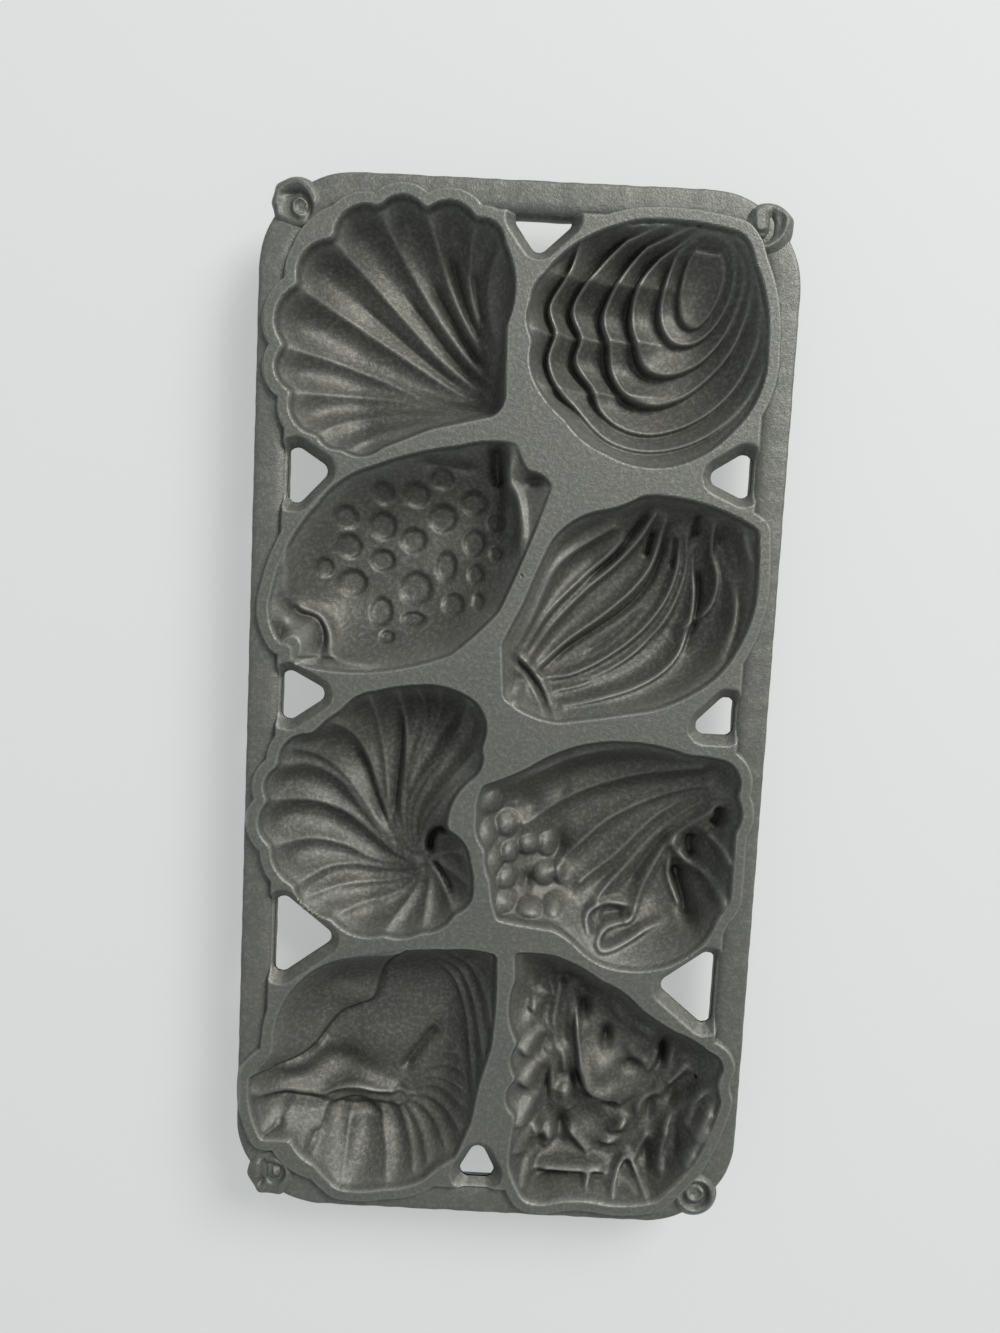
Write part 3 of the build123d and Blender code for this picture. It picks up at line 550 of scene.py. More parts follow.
conch_ridges = [
    [(-4, -21), (12, -16.5), (28, -9.5), (46, -6.5), (64, -9)],
    [(8.5, -38), (17.5, -31.2), (30, -24), (48, -17.4), (68, -12.6)],
    [(20.5, -53.5), (29, -43.8), (39, -34.5), (54, -26.3), (71, -19.5)],
    [(29.5, -58), (41, -48.3), (53.5, -34.5), (64, -26.5), (73, -21.5)],
    [(35.5, -64.5), (44, -53.5), (54, -40.5), (65.5, -29.7), (74, -23)],
    [(49.5, -68), (51.6, -60.5), (55.5, -51), (60.5, -41), (68, -33.8), (74.6, -27)],
]
conch_lines = [
    ([(35, -60.5), (43.5, -52), (52.5, -41), (62, -31.5)], 1.6, 1.5),
    ([(47, -60.5), (51.5, -52), (57.5, -42.5), (64, -36)], 2.2, 1.6),
    ([(68.6, -38.5), (68.4, -43), (69.4, -47.5)], 4.5, 2.2),
    ([(64, -51), (65.5, -57), (67.5, -63), (68.4, -70.5)], 6.0, 2.6),
    ([(76.4, -26.5), (76.2, -31), (74.4, -34)], 4.5, 1.7),
    ([(37, -69.5), (41.5, -70.4), (46, -69.8)], 2.0, 1.8),
    ([(61.4, -39.5), (62.4, -44), (66.4, -48.3), (72.2, -50.8), (77, -57.5), (78.5, -63)], -2.6, 1.9),
    ([(61.2, -46.5), (61.2, -54), (63.8, -61), (66.3, -66)], -2.2, 1.2),
    ([(72, -36.6), (76.3, -40.2), (80, -46.5)], -2.4, 1.3),
    ([(34.5, -76), (32.2, -72), (32.6, -68), (37.5, -65.6), (43, -65.8), (48.5, -66.6)], -2.6, 1.4),
    ([(49.8, -67.5), (47.6, -70.8), (43, -71.8), (39, -73), (36.4, -75.6), (37, -78.4), (41, -78.6),
      (47, -76.4), (53, -73.2), (60, -70.2)], -3.0, 1.4),
    ([(4.6, -29), (6.4, -33.5), (8.8, -38.3)], -1.4, 2.2),
    ([(-2, -68), (8, -70.5), (19, -72), (27, -77.5)], 2.6, 2.0),
]
conch_dents = [
    ((21.4, -46.8), 4.0, 5.0, 3.5), ((10, -31), 5.0, 5.0, 2.5), ((10, -58.5), 1.8, 3.2, 3.0),
]
conch_knobs = [
    (-4, -28.6, 4.8, 4.6), (-5, -39.6, 4, 5.2), (2, -37, 4.4, 5), (-2.6, -49.4, 4.2, 4.6),
    (3.6, -47.2, 3.6, 4.2), (10.4, -45.4, 4.6, 4), (17.4, -46, 4.2, 4.6), (3, -56, 3.6, 4.6),
    (16.4, -55.6, 4.8, 4.6), (2.6, -63.6, 4.4, 4), (11.4, -66.4, 4.8, 3.6), (20.6, -65.6, 4.8, 3.8),
    (22.6, -55.4, 3.6, 4.6),
]


def conch_depth(x, y, inside):
    """Long folds run from the canal to a crown of knobs, beside an open lip."""
    folds = fluted(x, y, conch_ridges, share=0.30, most=4.4, rise=2.2) * smooth_step(-76.0, -62.0, y)
    floor = bowl(inside, depth=18.5, reach=25.0) + folds * smooth_step(0.5, 6.0, inside)
    floor = floor * (1 - 0.22 * smooth_step(27.0, 8.0, x) * smooth_step(1.0, 5.0, inside))
    knobs = np.zeros(x.shape)
    for cx, cy, radius_x, radius_y in conch_knobs:
        knobs = np.maximum(knobs, 1 - ((x - cx) / radius_x) ** 2 - ((y - cy) / radius_y) ** 2)
    floor = floor - (3.3 * knobs - 1.4) * smooth_step(26.0, 20.0, x) * smooth_step(0.5, 4.0, inside)
    return floor + carved(x, y, conch_lines, conch_dents)


whelk_whorls = [
    [(-27, -86), (-20, -90), (-13.5, -97.5), (-9.2, -107.5), (-7.4, -118), (-6, -126.5), (-4, -135)],
    [(-20, -85.5), (-12.5, -92), (-7.2, -101), (-4.6, -109.8), (-2.6, -118.5), (-1.4, -124)],
    [(-13.5, -85), (-6.3, -92), (-2, -99.5), (0, -107.5)],
]
whelk_pleats = [
    [(-34, -139.5), (-30, -130.8), (-25.5, -123.5), (-20.5, -117.5)],
    [(-31, -139), (-25, -131.6), (-18.8, -126.6), (-12.5, -124)],
    [(-30, -139.8), (-23.4, -133), (-17, -130), (-11, -129)],
    [(-29.5, -140.6), (-22.4, -135.6), (-16.5, -133.8), (-10.5, -134)],
    [(-29, -141.6), (-21.6, -138.2), (-15.5, -138), (-10, -139.6)],
    [(-29, -143), (-21.5, -142.2), (-15, -144), (-10, -147)],
    [(-29.5, -144.4), (-23.5, -146.2), (-18, -149.8), (-14.5, -154.5)],
    [(-30.8, -145.6), (-26.4, -150), (-22.6, -155), (-20.4, -160)],
    [(-32.4, -146.6), (-29.4, -152.6), (-26.8, -158.4), (-25.4, -164)],
    [(-38.5, -149.5), (-37.4, -156), (-35.6, -162), (-34.6, -169)],
    [(-50, -151), (-50.2, -158), (-50.3, -164), (-50.3, -170)],
    [(-59, -148), (-60.6, -153), (-63.2, -159), (-65.4, -163)],
    [(-70.5, -145.5), (-73.5, -149.5), (-78.5, -155.5)],
]
whelk_crease = [(-33.5, -84), (-37.5, -89), (-40, -95), (-41.4, -102), (-43.5, -106.8), (-49, -109.4),
                (-55, -112.6), (-59.5, -118), (-63.5, -123.5), (-68.5, -127.2), (-76, -128.8)]
whelk_ledge = [(-86, -135), (-79.5, -138.6), (-72.5, -140.4), (-66.5, -141.8), (-60.5, -142),
               (-55.5, -139.8), (-50, -138.2), (-45, -138.4), (-40, -140), (-33.5, -141)]


whelk_lines = [
    ([(-76, -130.6), (-69, -131.6), (-63.5, -128), (-59, -122)], -2.6, 3.2),
    ([(-82, -140.4), (-73, -143.2), (-64, -145), (-57, -147.4), (-50, -149.2), (-44, -149.2),
      (-39.5, -151.5)], 2.4, 1.7),
    ([(-31.5, -134.5), (-28, -128.5), (-23.8, -122.4), (-19.4, -116.8)], 3.0, 1.8),
    ([(-72.5, -148.5), (-76.5, -153), (-80, -157)], 2.6, 1.8),
    ([(-60.8, -153), (-63, -158.5), (-65.6, -163.5)], 3.0, 1.7),
]
whelk_dents = [
    ((-50, -104), 9.0, 4.0, -1.8), ((-55, -131), 8.0, 5.0, 3.2), ((-47, -134.5), 12.0, 4.0, 1.2),
    ((-41, -123), 9.0, 8.0, -1.8),
]


def whelk_depth(x, y, inside):
    """A round whorl above its lip ledge, pleats beside it, and ruffles below."""
    floor = bowl(inside, depth=18.5, reach=23.0)
    distance, _, side = distance_to_path(x, y, smooth_path(whelk_crease))
    upper = smooth_step(-0.6, 1.2, -distance * side) * (y > -131) * (x < -30)
    floor = floor - 3.4 * upper * np.exp(-distance / 16.0) + 1.3 * np.exp(-(distance / 1.5) ** 2)

    pleats = fluted(x, y, whelk_pleats, share=0.27, most=2.6, rise=1.2) * smooth_step(0.5, 4.0, inside)
    floor = floor + pleats * smooth_step(-2.0, 2.0, 0.9 * np.clip(x + 33.0, -2.0, 24.0) - (y + 139.5))
    whorls = fluted(x, y, whelk_whorls, share=0.42, most=2.6, rise=1.2) * smooth_step(-24.0, -14.0, x)
    floor = floor + whorls * (y > -134)

    distance, _, side = distance_to_path(x, y, smooth_path(whelk_ledge))
    ledge = smooth_step(-0.5, 0.9, -distance * side) * (1 - smooth_step(5.0, 7.5, distance))
    tip = smooth_step(-32.0, -36.0, x) * smooth_step(-88.0, -80.0, x)
    floor = floor - 4.0 * ledge * blob(x, y, (-47, -143), 13.0, 30.0)
    floor = floor - 2.2 * np.exp(-(distance / 1.9) ** 2) * tip
    return floor + carved(x, y, whelk_lines, whelk_dents)


murex_lines = [
    ([(23.5, -88), (24.3, -97), (23, -108), (24, -120), (23.5, -132), (24.4, -146)], -2.8, 2.025),
    ([(29.5, -99), (29.8, -110), (31, -119.5), (32.6, -126.5), (36, -132.5), (40.5, -137), (45.5, -138.4)],
      -2.6, 2.295),
    ([(66.6, -117), (64.4, -126.5), (61, -134.5), (56.2, -139.4), (55.2, -147)], -3.0, 2.025),
    ([(76.6, -128.5), (73.6, -137.5), (71, -145.5)], -2.4, 1.485),
    ([(79.6, -131.5), (76.5, -140), (73.5, -148)], -1.8, 1.485),
    ([(74.4, -149.5), (71.6, -156.5), (69.4, -161)], -2.2, 1.62),
    ([(66, -146.5), (64.3, -155), (63.4, -163.5)], -2.8, 1.62),
    ([(60, -151), (57.2, -156.5), (55, -162)], -1.8, 1.62),
    ([(17.5, -165), (26, -164.4), (34.5, -163.8), (40, -163.6), (45, -165.4)], -5.2, 1.755),
    ([(30, -151.5), (34.6, -156.6), (39, -161.4)], -1.8, 1.35),
    ([(52.8, -159.5), (48.6, -165), (46, -171)], -3.0, 1.35),
    ([(52.8, -159.5), (56.2, -165), (59.6, -170.5)], -3.0, 1.35),
    ([(49.4, -166), (52.5, -167), (56, -169)], -2.0, 1.215),
    ([(38.8, -164.5), (37, -168), (36.6, -171.5)], -3.4, 1.485),
    ([(14, -92), (14.5, -99), (15.4, -104.5)], -1.6, 1.62),
    ([(16.8, -145.5), (18.6, -149.5), (18, -154.5)], -2.4, 1.35),
    ([(70.5, -121), (66.5, -130), (61.5, -138)], -2.4, 1.755),
    ([(80.5, -126), (74, -133.5), (68, -141.5), (64, -150)], -2.4, 1.755),
    ([(79.5, -141), (74.5, -148.5), (69.5, -157)], -2.2, 1.62),
    ([(42.5, -100), (45.5, -105), (50, -108), (55.5, -111), (60, -114.5)], -1.8, 2.16),
    ([(50, -117), (53, -121.5), (58, -125)], -1.6, 1.89),
    ([(11.5, -158), (15, -152.5), (18.5, -147)], -3.4, 2.7),
    ([(13.5, -169), (16, -163.5), (18.5, -158.5)], -3.0, 2.3),
    ([(11, -118.5), (15.5, -114.5), (20.5, -110.5)], -3.6, 3.3),
    ([(11.5, -131), (15.5, -127), (20.5, -121.5)], -3.6, 3.3),
    ([(11.5, -146), (15, -140), (19, -133.5)], -3.6, 3.2),
    ([(14, -105), (17.5, -101.5), (21, -97.5)], -3.2, 2.8),
    ([(64.5, -131.5), (68.5, -127), (73, -122)], -2.4, 2.2),
    ([(73, -146), (76.5, -140.5), (79, -134.5)], -2.6, 2.2),
    ([(25.5, -118), (27, -124), (28, -130)], -2.2, 1.9),
    ([(26, -133), (28.5, -139), (30.5, -145)], -2.8, 2.4),
    ([(20, -150), (22.5, -155), (22, -160)], -2.4, 2.0),
    ([(57, -128), (60, -122.5), (61.5, -118.5)], -2.0, 1.9),
    ([(45, -152.5), (49, -148.5), (52, -146)], -2.0, 1.8),
]
murex_dents = [
    ((33.6, -105.5), 2.2, 4.0, 4.5), ((42.4, -115.5), 2.0, 4.2, 5.0), ((52, -125.5), 3.0, 2.2, 3.5),
    ((63.4, -120), 1.6, 5.6, 5.5), ((51, -107.5), 3.2, 2.4, 1.8), ((26.5, -93.5), 5.0, 3.0, 4.0),
    ((33, -98), 4.0, 3.4, 3.0), ((27.6, -151.5), 2.6, 4.2, 4.5), ((21.4, -134), 0.9, 4.0, 2.4),
    ((32.5, -131.5), 1.8, 4.0, 3.4), ((38.5, -138.5), 3.6, 1.7, 3.4), ((45.8, -141.6), 2.2, 2.2, 3.0),
    ((39, -148), 5.0, 5.0, 2.2), ((27, -158), 5.5, 2.4, 2.4), ((28, -168.6), 8.5, 3.0, 4.6),
    ((60, -143), 1.8, 5.0, 2.2), ((67.8, -137), 2.0, 6.0, 2.0), ((69.4, -151), 1.4, 5.0, 2.0),
    ((60, -160.5), 1.6, 5.0, 2.2), ((42, -167.5), 2.2, 2.6, 2.2), ((17, -97.6), 2.6, 2.4, -2.5),
    ((14.4, -107.5), 3.2, 3.4, -2.5), ((14.4, -119), 3.4, 3.6, -2.75), ((15.4, -131.5), 3.0, 3.6, -2.75),
    ((21.2, -121), 1.6, 4.0, -2.0), ((27.4, -123.5), 2.0, 5.0, -2.5), ((29.5, -135.5), 4.0, 3.4, -3.0),
    ((26.5, -141.5), 2.2, 4.0, -2.25), ((24, -153), 2.2, 3.2, -3.0), ((40.5, -127), 6.5, 7.0, -4.25),
    ((44.5, -135), 4.0, 3.0, -2.0), ((45.2, -155.4), 3.4, 1.7, -3.25), ((49.6, -148.8), 2.4, 2.8, -3.0),
    ((56, -117), 5.0, 4.0, -2.25), ((15.4, -158), 2.2, 2.6, -2.25),
]
murex_step = [(31, -100), (30.4, -111), (31.8, -121), (32.8, -128), (35.3, -134.5), (40.3, -138.2),
              (45.5, -139.6), (49.5, -143.5)]


def murex_depth(x, y, inside):
    """Frilled lumps and spines along the shell, with a high face over a dark step in the middle."""
    floor = bowl(inside, depth=16.5, reach=19.0 - 8.0 * smooth_step(-148.0, -160.0, y))
    distance, share, side = distance_to_path(x, y, smooth_path(murex_step))
    face = smooth_step(-0.7, 0.9, distance * side) * np.exp(-distance / 13.0)
    floor = floor - 4.2 * face * smooth_step(0.0, 0.15, share) * smooth_step(1.0, 0.9, share)
    return floor + carved(x, y, murex_lines, murex_dents)


depth_of = {
    "scallop_cup": scallop_depth, "oyster_cup": oyster_depth, "cowrie_cup": cowrie_depth,
    "bubble_cup": bubble_depth, "spiral_cup": spiral_depth, "conch_cup": conch_depth,
    "whelk_cup": whelk_depth, "murex_cup": murex_depth,
}
cup_names = list(outlines)


# The casting's sheets

def plan_grid(step):
    """Plan places on a grid that covers the land."""
    half_x, half_y = pan_width / 2 - grid_inset, pan_length / 2 - grid_inset
    xs = np.linspace(-half_x, half_x, int(2 * half_x / step) + 1)
    ys = np.linspace(-half_y, half_y, int(2 * half_y / step) + 1)
    return np.meshgrid(xs, ys, indexing="ij")


def plate_distance(x, y):
    """Distance to the edge of the land where no cup is near: a rounded rectangle."""
    reach = bar_cover - bar_width
    radius = corner_radius + reach
    off_x = np.abs(x) - (pan_width / 2 + reach - radius)
    off_y = np.abs(y) - (pan_length / 2 + reach - radius)
    outside = np.hypot(np.maximum(off_x, 0), np.maximum(off_y, 0))
    return outside + np.minimum(np.maximum(off_x, off_y), 0) - radius


def near_ring(x, y, ring):
    """Which part of the grid lies near a ring."""
    low, high = ring.min(0) - near, ring.max(0) + near
    rows = np.flatnonzero((x[:, 0] > low[0]) & (x[:, 0] < high[0]))
    columns = np.flatnonzero((y[0] > low[1]) & (y[0] < high[1]))
    return slice(rows[0], rows[-1] + 1), slice(columns[0], columns[-1] + 1)


def fields(x, y):
    """Signed distances to the cups and the openings, and the number of the nearest cup."""
    cups = np.full(x.shape, far)
    owner = np.full(x.shape, -1)
    for number, name in enumerate(cup_names):
        ring = ring_of(outlines[name])
        part = near_ring(x, y, ring)
        distance = signed_distance(x[part], y[part], ring)
        owner[part] = np.where(distance < cups[part], number, owner[part])
        cups[part] = np.minimum(cups[part], distance)
    holes = np.full(x.shape, far)
    for corners in opening_corners:
        ring = rounded_ring(corners, opening_round)
        part = near_ring(x, y, ring)
        holes[part] = np.minimum(holes[part], signed_distance(x[part], y[part], ring))
    return cups, owner, holes


def land_distance(x, y, cups):
    """Distance to the edge of the land: of its plate, or of the lip round a cup."""
    return np.minimum(plate_distance(x, y), cups - lip_band)


def softened(field, spread):
    """The field with each value averaged with its neighbours."""
    return averaged(averaged(field, spread, span=3), spread, span=3, axis=1)


def snapped(x, y, step, levels):
    """The grid with its nearest places moved onto each level line, so that edges are crisp."""
    for field, level in levels:
        slope_x, slope_y = np.gradient(field, step)
        steepness = np.maximum(np.hypot(slope_x, slope_y), least_slope)
        off = (field - level) / steepness
        close = np.abs(off) < step / 2
        x = np.where(close, x - off * slope_x / steepness, x)
        y = np.where(close, y - off * slope_y / steepness, y)
    return x, y


def top_height(x, y, cups, owner, holes):
    """Height of the casting's upper side."""
    height = land_top - skirt_slope * np.maximum(land_distance(x, y, cups), 0)
    height = height - opening_slope * np.maximum(opening_margin - holes, 0) * (cups > 0)
    for number, name in enumerate(cup_names):
        part = near_ring(x, y, ring_of(outlines[name]))
        inside = np.maximum(-cups[part], 0)
        eased = inside
        for _ in range(bowl_easing):
            eased = softened(eased, bowl_spread)
        depth = np.clip(softened(depth_of[name](x[part], y[part], eased), depth_spread), least_depth, deepest)
        depth = np.maximum(soft_min(wall_slope * inside, depth, wall_blend), 0)
        cup = (owner[part] == number) & (cups[part] <= 0)
        drop = depth * smooth_step(*lip_round, inside)
        height[part] = np.where(cup, land_top - drop, height[part])
    return height


def under_height(cups):
    """Height of the underside: the land's flat back, and the round outsides of the cups."""
    return land_bottom * (1 - bowl(cup_edge - cups, 1.0, belly_reach))


def vertex_normals(points, triangles):
    """Smooth normals of a whole sheet, so that its pieces meet with no seam."""
    a, b, c = (points[triangles[:, k]] for k in range(3))
    face = np.cross(b - a, c - a)
    normals = np.zeros_like(points)
    for k in range(3):
        np.add.at(normals, triangles[:, k], face)
    return normals / np.maximum(np.linalg.norm(normals, axis=1, keepdims=True), tiny)


def split_cells(shape, on_line):
    """Two triangles for each grid cell, split along whichever diagonal follows a level line."""
    index = np.arange(shape[0] * shape[1]).reshape(shape)
    a, b, c, d = index[:-1, :-1], index[1:, :-1], index[1:, 1:], index[:-1, 1:]
    flat = on_line.ravel()
    other = (flat[b] & flat[d] & ~(flat[a] & flat[c])).ravel()
    a, b, c, d = (corner.ravel() for corner in (a, b, c, d))
    first = np.where(other[:, None], np.stack([a, b, d], 1), np.stack([a, b, c], 1))
    second = np.where(other[:, None], np.stack([b, c, d], 1), np.stack([a, c, d], 1))
    return np.vstack([first, second])


def casting_sheet(step, is_top):
    """One side of the casting: its triangles, their regions, its points and normals, and its looks."""
    x, y = plan_grid(step)
    cell = x[1, 0] - x[0, 0]
    cups, owner, holes = fields(x, y)
    land = land_distance(x, y, cups)
    edge = skirt_width if is_top else 0.0
    rim = 0.0 if is_top else cup_edge
    levels = [(land, edge), (holes, 0.0), (cups, rim)]
    if is_top:
        levels.append((land, 0.0))
    x, y = snapped(x, y, cell, levels)
    cups, owner, holes = fields(x, y)
    land = land_distance(x, y, cups)
    on_line = np.zeros(x.shape, bool)
    for field, level in ((cups, rim), (holes, 0.0), (land, edge), (land, 0.0)):
        on_line |= np.abs(field - level) < line_slack * cell
    triangles = split_cells(x.shape, on_line)
    kept = (middle_of(land, triangles) < edge) & (middle_of(holes, triangles) > 0)
    triangles = triangles[kept]
    numbers = owner.ravel()[triangles].max(1)
    region = np.where(middle_of(cups, triangles) < rim, numbers, -1)
    if is_top:
        height = top_height(x, y, cups, owner, holes)
        # Crests are later drawn paler (wear and painted highlight) and creases darker (grime and painted
        # shade)
        bend = crest_field(height)
        # Painted shade with the oil darkening of the cups: the deeper a place lies below the land, the darker
        # it is drawn
        oil_and_shade = np.clip((land_top - height) / deepest, 0, 1)
    else:
        height = under_height(cups)
        bend = np.zeros(x.shape)
        # The underside gets an even painted shade
        oil_and_shade = np.full(x.shape, under_shade)
    points = np.column_stack([x.ravel(), y.ravel(), height.ravel()])
    normals = vertex_normals(points, triangles)
    if not is_top:
        triangles, normals = triangles[:, ::-1], -normals
    return triangles, region, points, normals, bend.ravel(), oil_and_shade.ravel()


def middle_of(field, triangles):
    """A field's value at the middle of each triangle."""
    return field.ravel()[triangles].mean(1)


def crest_field(height):
    """How far each place stands above its neighbours: positive on crests, negative in creases."""
    bend = np.zeros(height.shape)
    for reach in (1, 2, 4):
        around = (np.roll(height, reach, 0) + np.roll(height, -reach, 0)
                  + np.roll(height, reach, 1) + np.roll(height, -reach, 1)) / 4
        bend += (height - around) / reach
    return bend


def new_object(name, data):
    """A new object in the scene for a mesh, a light or a camera."""
    thing = bpy.data.objects.new(name, data)
    bpy.context.scene.collection.objects.link(thing)
    return thing


def build_piece(name, parts, material):
    """One mesh piece of a node from parts of the sheets, with its looks as attributes."""
    faces, columns = [], []
    count = 0
    for part_faces, *part_columns in parts:
        used, renumbered = np.unique(part_faces, return_inverse=True)
        faces.append(renumbered.reshape(-1, 3) + count)
        columns.append([column[used] for column in part_columns])
        count += len(used)
    faces = np.vstack(faces)
    points, normals, crest, oil_and_shade = (np.concatenate(column) for column in zip(*columns))
    mesh = bpy.data.meshes.new(name)
    mesh.vertices.add(count)
    mesh.vertices.foreach_set("co", (points * mm).ravel())
    mesh.loops.add(faces.size)
    mesh.loops.foreach_set("vertex_index", faces.ravel().astype(np.int32))
    mesh.polygons.add(len(faces))
    mesh.polygons.foreach_set("loop_start", np.arange(0, faces.size, 3, dtype=np.int32))
    mesh.polygons.foreach_set("use_smooth", np.ones(len(faces), bool))
    mesh.update(calc_edges=True)
    # The second attribute carries painted shade together with the cups' oil darkening
    for label, values in (("crest", crest), ("oil_and_shade", oil_and_shade)):
        attribute_data = mesh.attributes.new(label, "FLOAT", "POINT").data
        attribute_data.foreach_set("value", values.astype(np.float32))
    mesh.normals_split_custom_set_from_vertices(normals)
    mesh.materials.append(material)
    return new_object(name, mesh)


def own(piece, *nodes):
    """The piece stands for its nodes and rides on the pan."""
    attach(piece, "root")
    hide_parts(*nodes)


def opening_walls():
    """The upright walls of the through openings, from the sloped edge down to the underside."""
    points, triangles, normals = [], [], []
    for corners in opening_corners:
        ring = rounded_ring(corners, opening_round)
        ahead = np.roll(ring, -1, axis=0) - np.roll(ring, 1, axis=0)
        turning = np.sign(np.sum(ring[:, 0] * np.roll(ring[:, 1], -1) - ring[:, 1] * np.roll(ring[:, 0], -1)))
        inward = turning * np.column_stack([-ahead[:, 1], ahead[:, 0]]) / np.hypot(*ahead.T)[:, None]
        count, start = len(ring), len(points)
        for height in (land_top - opening_slope * opening_margin, land_bottom):
            points += [(x, y, height) for x, y in ring]
            normals += [(x, y, 0.0) for x, y in inward]
        for k in range(count):
            upper, following = start + k, start + (k + 1) % count
            quad = [upper, following, following + count, upper + count][::int(-turning)]
            triangles += [(quad[0], quad[1], quad[2]), (quad[0], quad[2], quad[3])]
    flat = np.zeros(len(points))
    # The opening walls get an even painted shade
    return np.array(triangles), np.array(points), np.array(normals), flat, flat + opening_wall_shade


# Materials

iron_face = (0.150, 0.157, 0.142)
# Colour of the cups' hollows: oil darkening together with painted shade
iron_oil_and_shade = (0.092, 0.095, 0.084)
# Paler iron on crests and lip edges, partly wear and partly painted highlight; also used for random pale
# specks
iron_wear_and_highlight = (0.34, 0.35, 0.325)
iron_stain = (0.24, 0.22, 0.17)
# Dark colour in creases: oil grime together with painted shade
iron_grime_and_crease_shade = (0.012, 0.011, 0.010)
iron_pit = (0.008, 0.008, 0.008)
iron_metallic = 0.55
iron_roughness = 0.34     # of the smoothest grains
iron_rough_range = 0.30   # how much rougher the roughest ones are
iron_bump = 0.0006        # height of the grain's bumps, in metres
paper = (0.735, 0.755, 0.745)


def node_math(tree, operation, a, b):
    """A math node on two sockets or numbers."""
    node = tree.nodes.new("ShaderNodeMath")
    node.operation = operation
    for socket, value in zip(node.inputs, (a, b)):
        if isinstance(value, (int, float)):
            socket.default_value = value
        else:
            tree.links.new(value, socket)
    return node.outputs[0]


def noise(tree, coordinates, scale, detail, roughness=0.55):
    """A noise value with cells about 1000 / scale millimetres across."""
    node = tree.nodes.new("ShaderNodeTexNoise")
    node.inputs["Scale"].default_value = scale
    node.inputs["Detail"].default_value = detail
    node.inputs["Roughness"].default_value = roughness
    tree.links.new(coordinates, node.inputs["Vector"])
    return node.outputs["Fac"]


def ramp(tree, value, low, high):
    """The value stretched so that low becomes 0 and high becomes 1."""
    node = tree.nodes.new("ShaderNodeMapRange")
    node.inputs["From Min"].default_value = low
    node.inputs["From Max"].default_value = high
    node.clamp = True
    tree.links.new(value, node.inputs["Value"])
    return node.outputs["Result"]


def blend_colour(tree, factor, first, second):
    """A mix of two colours, each of them a tuple or a socket."""
    node = tree.nodes.new("ShaderNodeMix")
    node.data_type = "RGBA"
    tree.links.new(factor, node.inputs["Factor"])
    for name, value in (("A", first), ("B", second)):
        socket = [s for s in node.inputs if s.name == name and s.type == "RGBA"][0]
        if isinstance(value, tuple):
            socket.default_value = (*value, 1)
        else:
            tree.links.new(value, socket)
    return [s for s in node.outputs if s.type == "RGBA"][0]


def scaled(tree, value, factor):
    """The value times a number."""
    return node_math(tree, "MULTIPLY", value, factor)


def attribute(tree, name):
    """A value that the mesh carries at its points."""
    node = tree.nodes.new("ShaderNodeAttribute")
    node.attribute_name = name
    return node.outputs["Fac"]


def pits(tree, place):
    """1 in small pits that lie in a few patches, and 0 elsewhere."""
    cells = tree.nodes.new("ShaderNodeTexVoronoi")
    cells.inputs["Scale"].default_value = 95.0
    tree.links.new(place, cells.inputs["Vector"])
    patches = ramp(tree, noise(tree, place, scale=130.0, detail=1.0), low=0.62, high=0.70)
    return node_math(tree, "MULTIPLY", ramp(tree, cells.outputs["Distance"], low=0.10, high=0.05), patches)


def cast_iron():
    """Sand-cast iron: crests and lips paler from wear and painted highlight, hollows darker from oil and
    painted shade, creases darker from grime and painted shade, fine grain and small pits.
    """
    material = bpy.data.materials.new("cast_iron")
    material.use_nodes = True
    tree = material.node_tree
    shader = tree.nodes["Principled BSDF"]
    place = tree.nodes.new("ShaderNodeTexCoord").outputs["Object"]
    oil_and_shade, crest = attribute(tree, "oil_and_shade"), attribute(tree, "crest")
    blotch = noise(tree, place, scale=45.0, detail=3.0)
    grain = noise(tree, place, scale=1500.0, detail=4.0, roughness=0.75)
    speck = noise(tree, place, scale=700.0, detail=2.0, roughness=0.6)
    pit = pits(tree, place)

    # Each layer's value, the values where it starts and where it is full, its strength and its colour
    layers = [
        # Darker with depth: oil in the cups together with painted shade; the underside and the opening walls
        # get painted shade only
        (oil_and_shade, 0.03, 0.5, 1.0, iron_oil_and_shade),
        (blotch, 0.35, 0.75, 0.22, iron_stain),
        (speck, 0.45, 0.75, 0.35, iron_wear_and_highlight),
        # Paler on crests: partly wear, partly painted highlight
        (crest, 0.12, 0.9, 0.6, iron_wear_and_highlight),
        # Darker in creases: grime together with painted shade
        (crest, -0.1, -1.0, 0.7, iron_grime_and_crease_shade),
        (pit, 0.0, 1.0, 1.0, iron_pit),
    ]
    colour = iron_face
    for value, start, full, strength, tint in layers:
        colour = blend_colour(tree, scaled(tree, ramp(tree, value, start, full), strength), colour, tint)
    tree.links.new(colour, shader.inputs["Base Color"])

    shader.inputs["Metallic"].default_value = iron_metallic
    rough = node_math(tree, "ADD", scaled(tree, grain, iron_rough_range), iron_roughness)
    tree.links.new(rough, shader.inputs["Roughness"])

    relief = node_math(tree, "ADD", scaled(tree, grain, 0.6), scaled(tree, speck, 0.5))
    relief = node_math(tree, "SUBTRACT", relief, scaled(tree, pit, 1.5))
    bump = tree.nodes.new("ShaderNodeBump")
    bump.inputs["Strength"].default_value = 0.5
    bump.inputs["Distance"].default_value = iron_bump
    tree.links.new(relief, bump.inputs["Height"])
    tree.links.new(bump.outputs["Normal"], shader.inputs["Normal"])
    return material


iron = cast_iron()


# The cups and the land

def casting_pieces():
    """A piece for every cup and one for the land, each with its upper side and its underside."""
    sheets = [casting_sheet(top_step, True), casting_sheet(under_step, False)]
    for number, name in enumerate(cup_names + ["land"]):
        wanted = number if name != "land" else -1
        parts = []
        for triangles, region, *columns in sheets:
            parts.append((triangles[region == wanted], *columns))
        if name == "land":
            parts.append(opening_walls())
        own(build_piece(f"{name}_casting", parts, iron), name)


# The bar

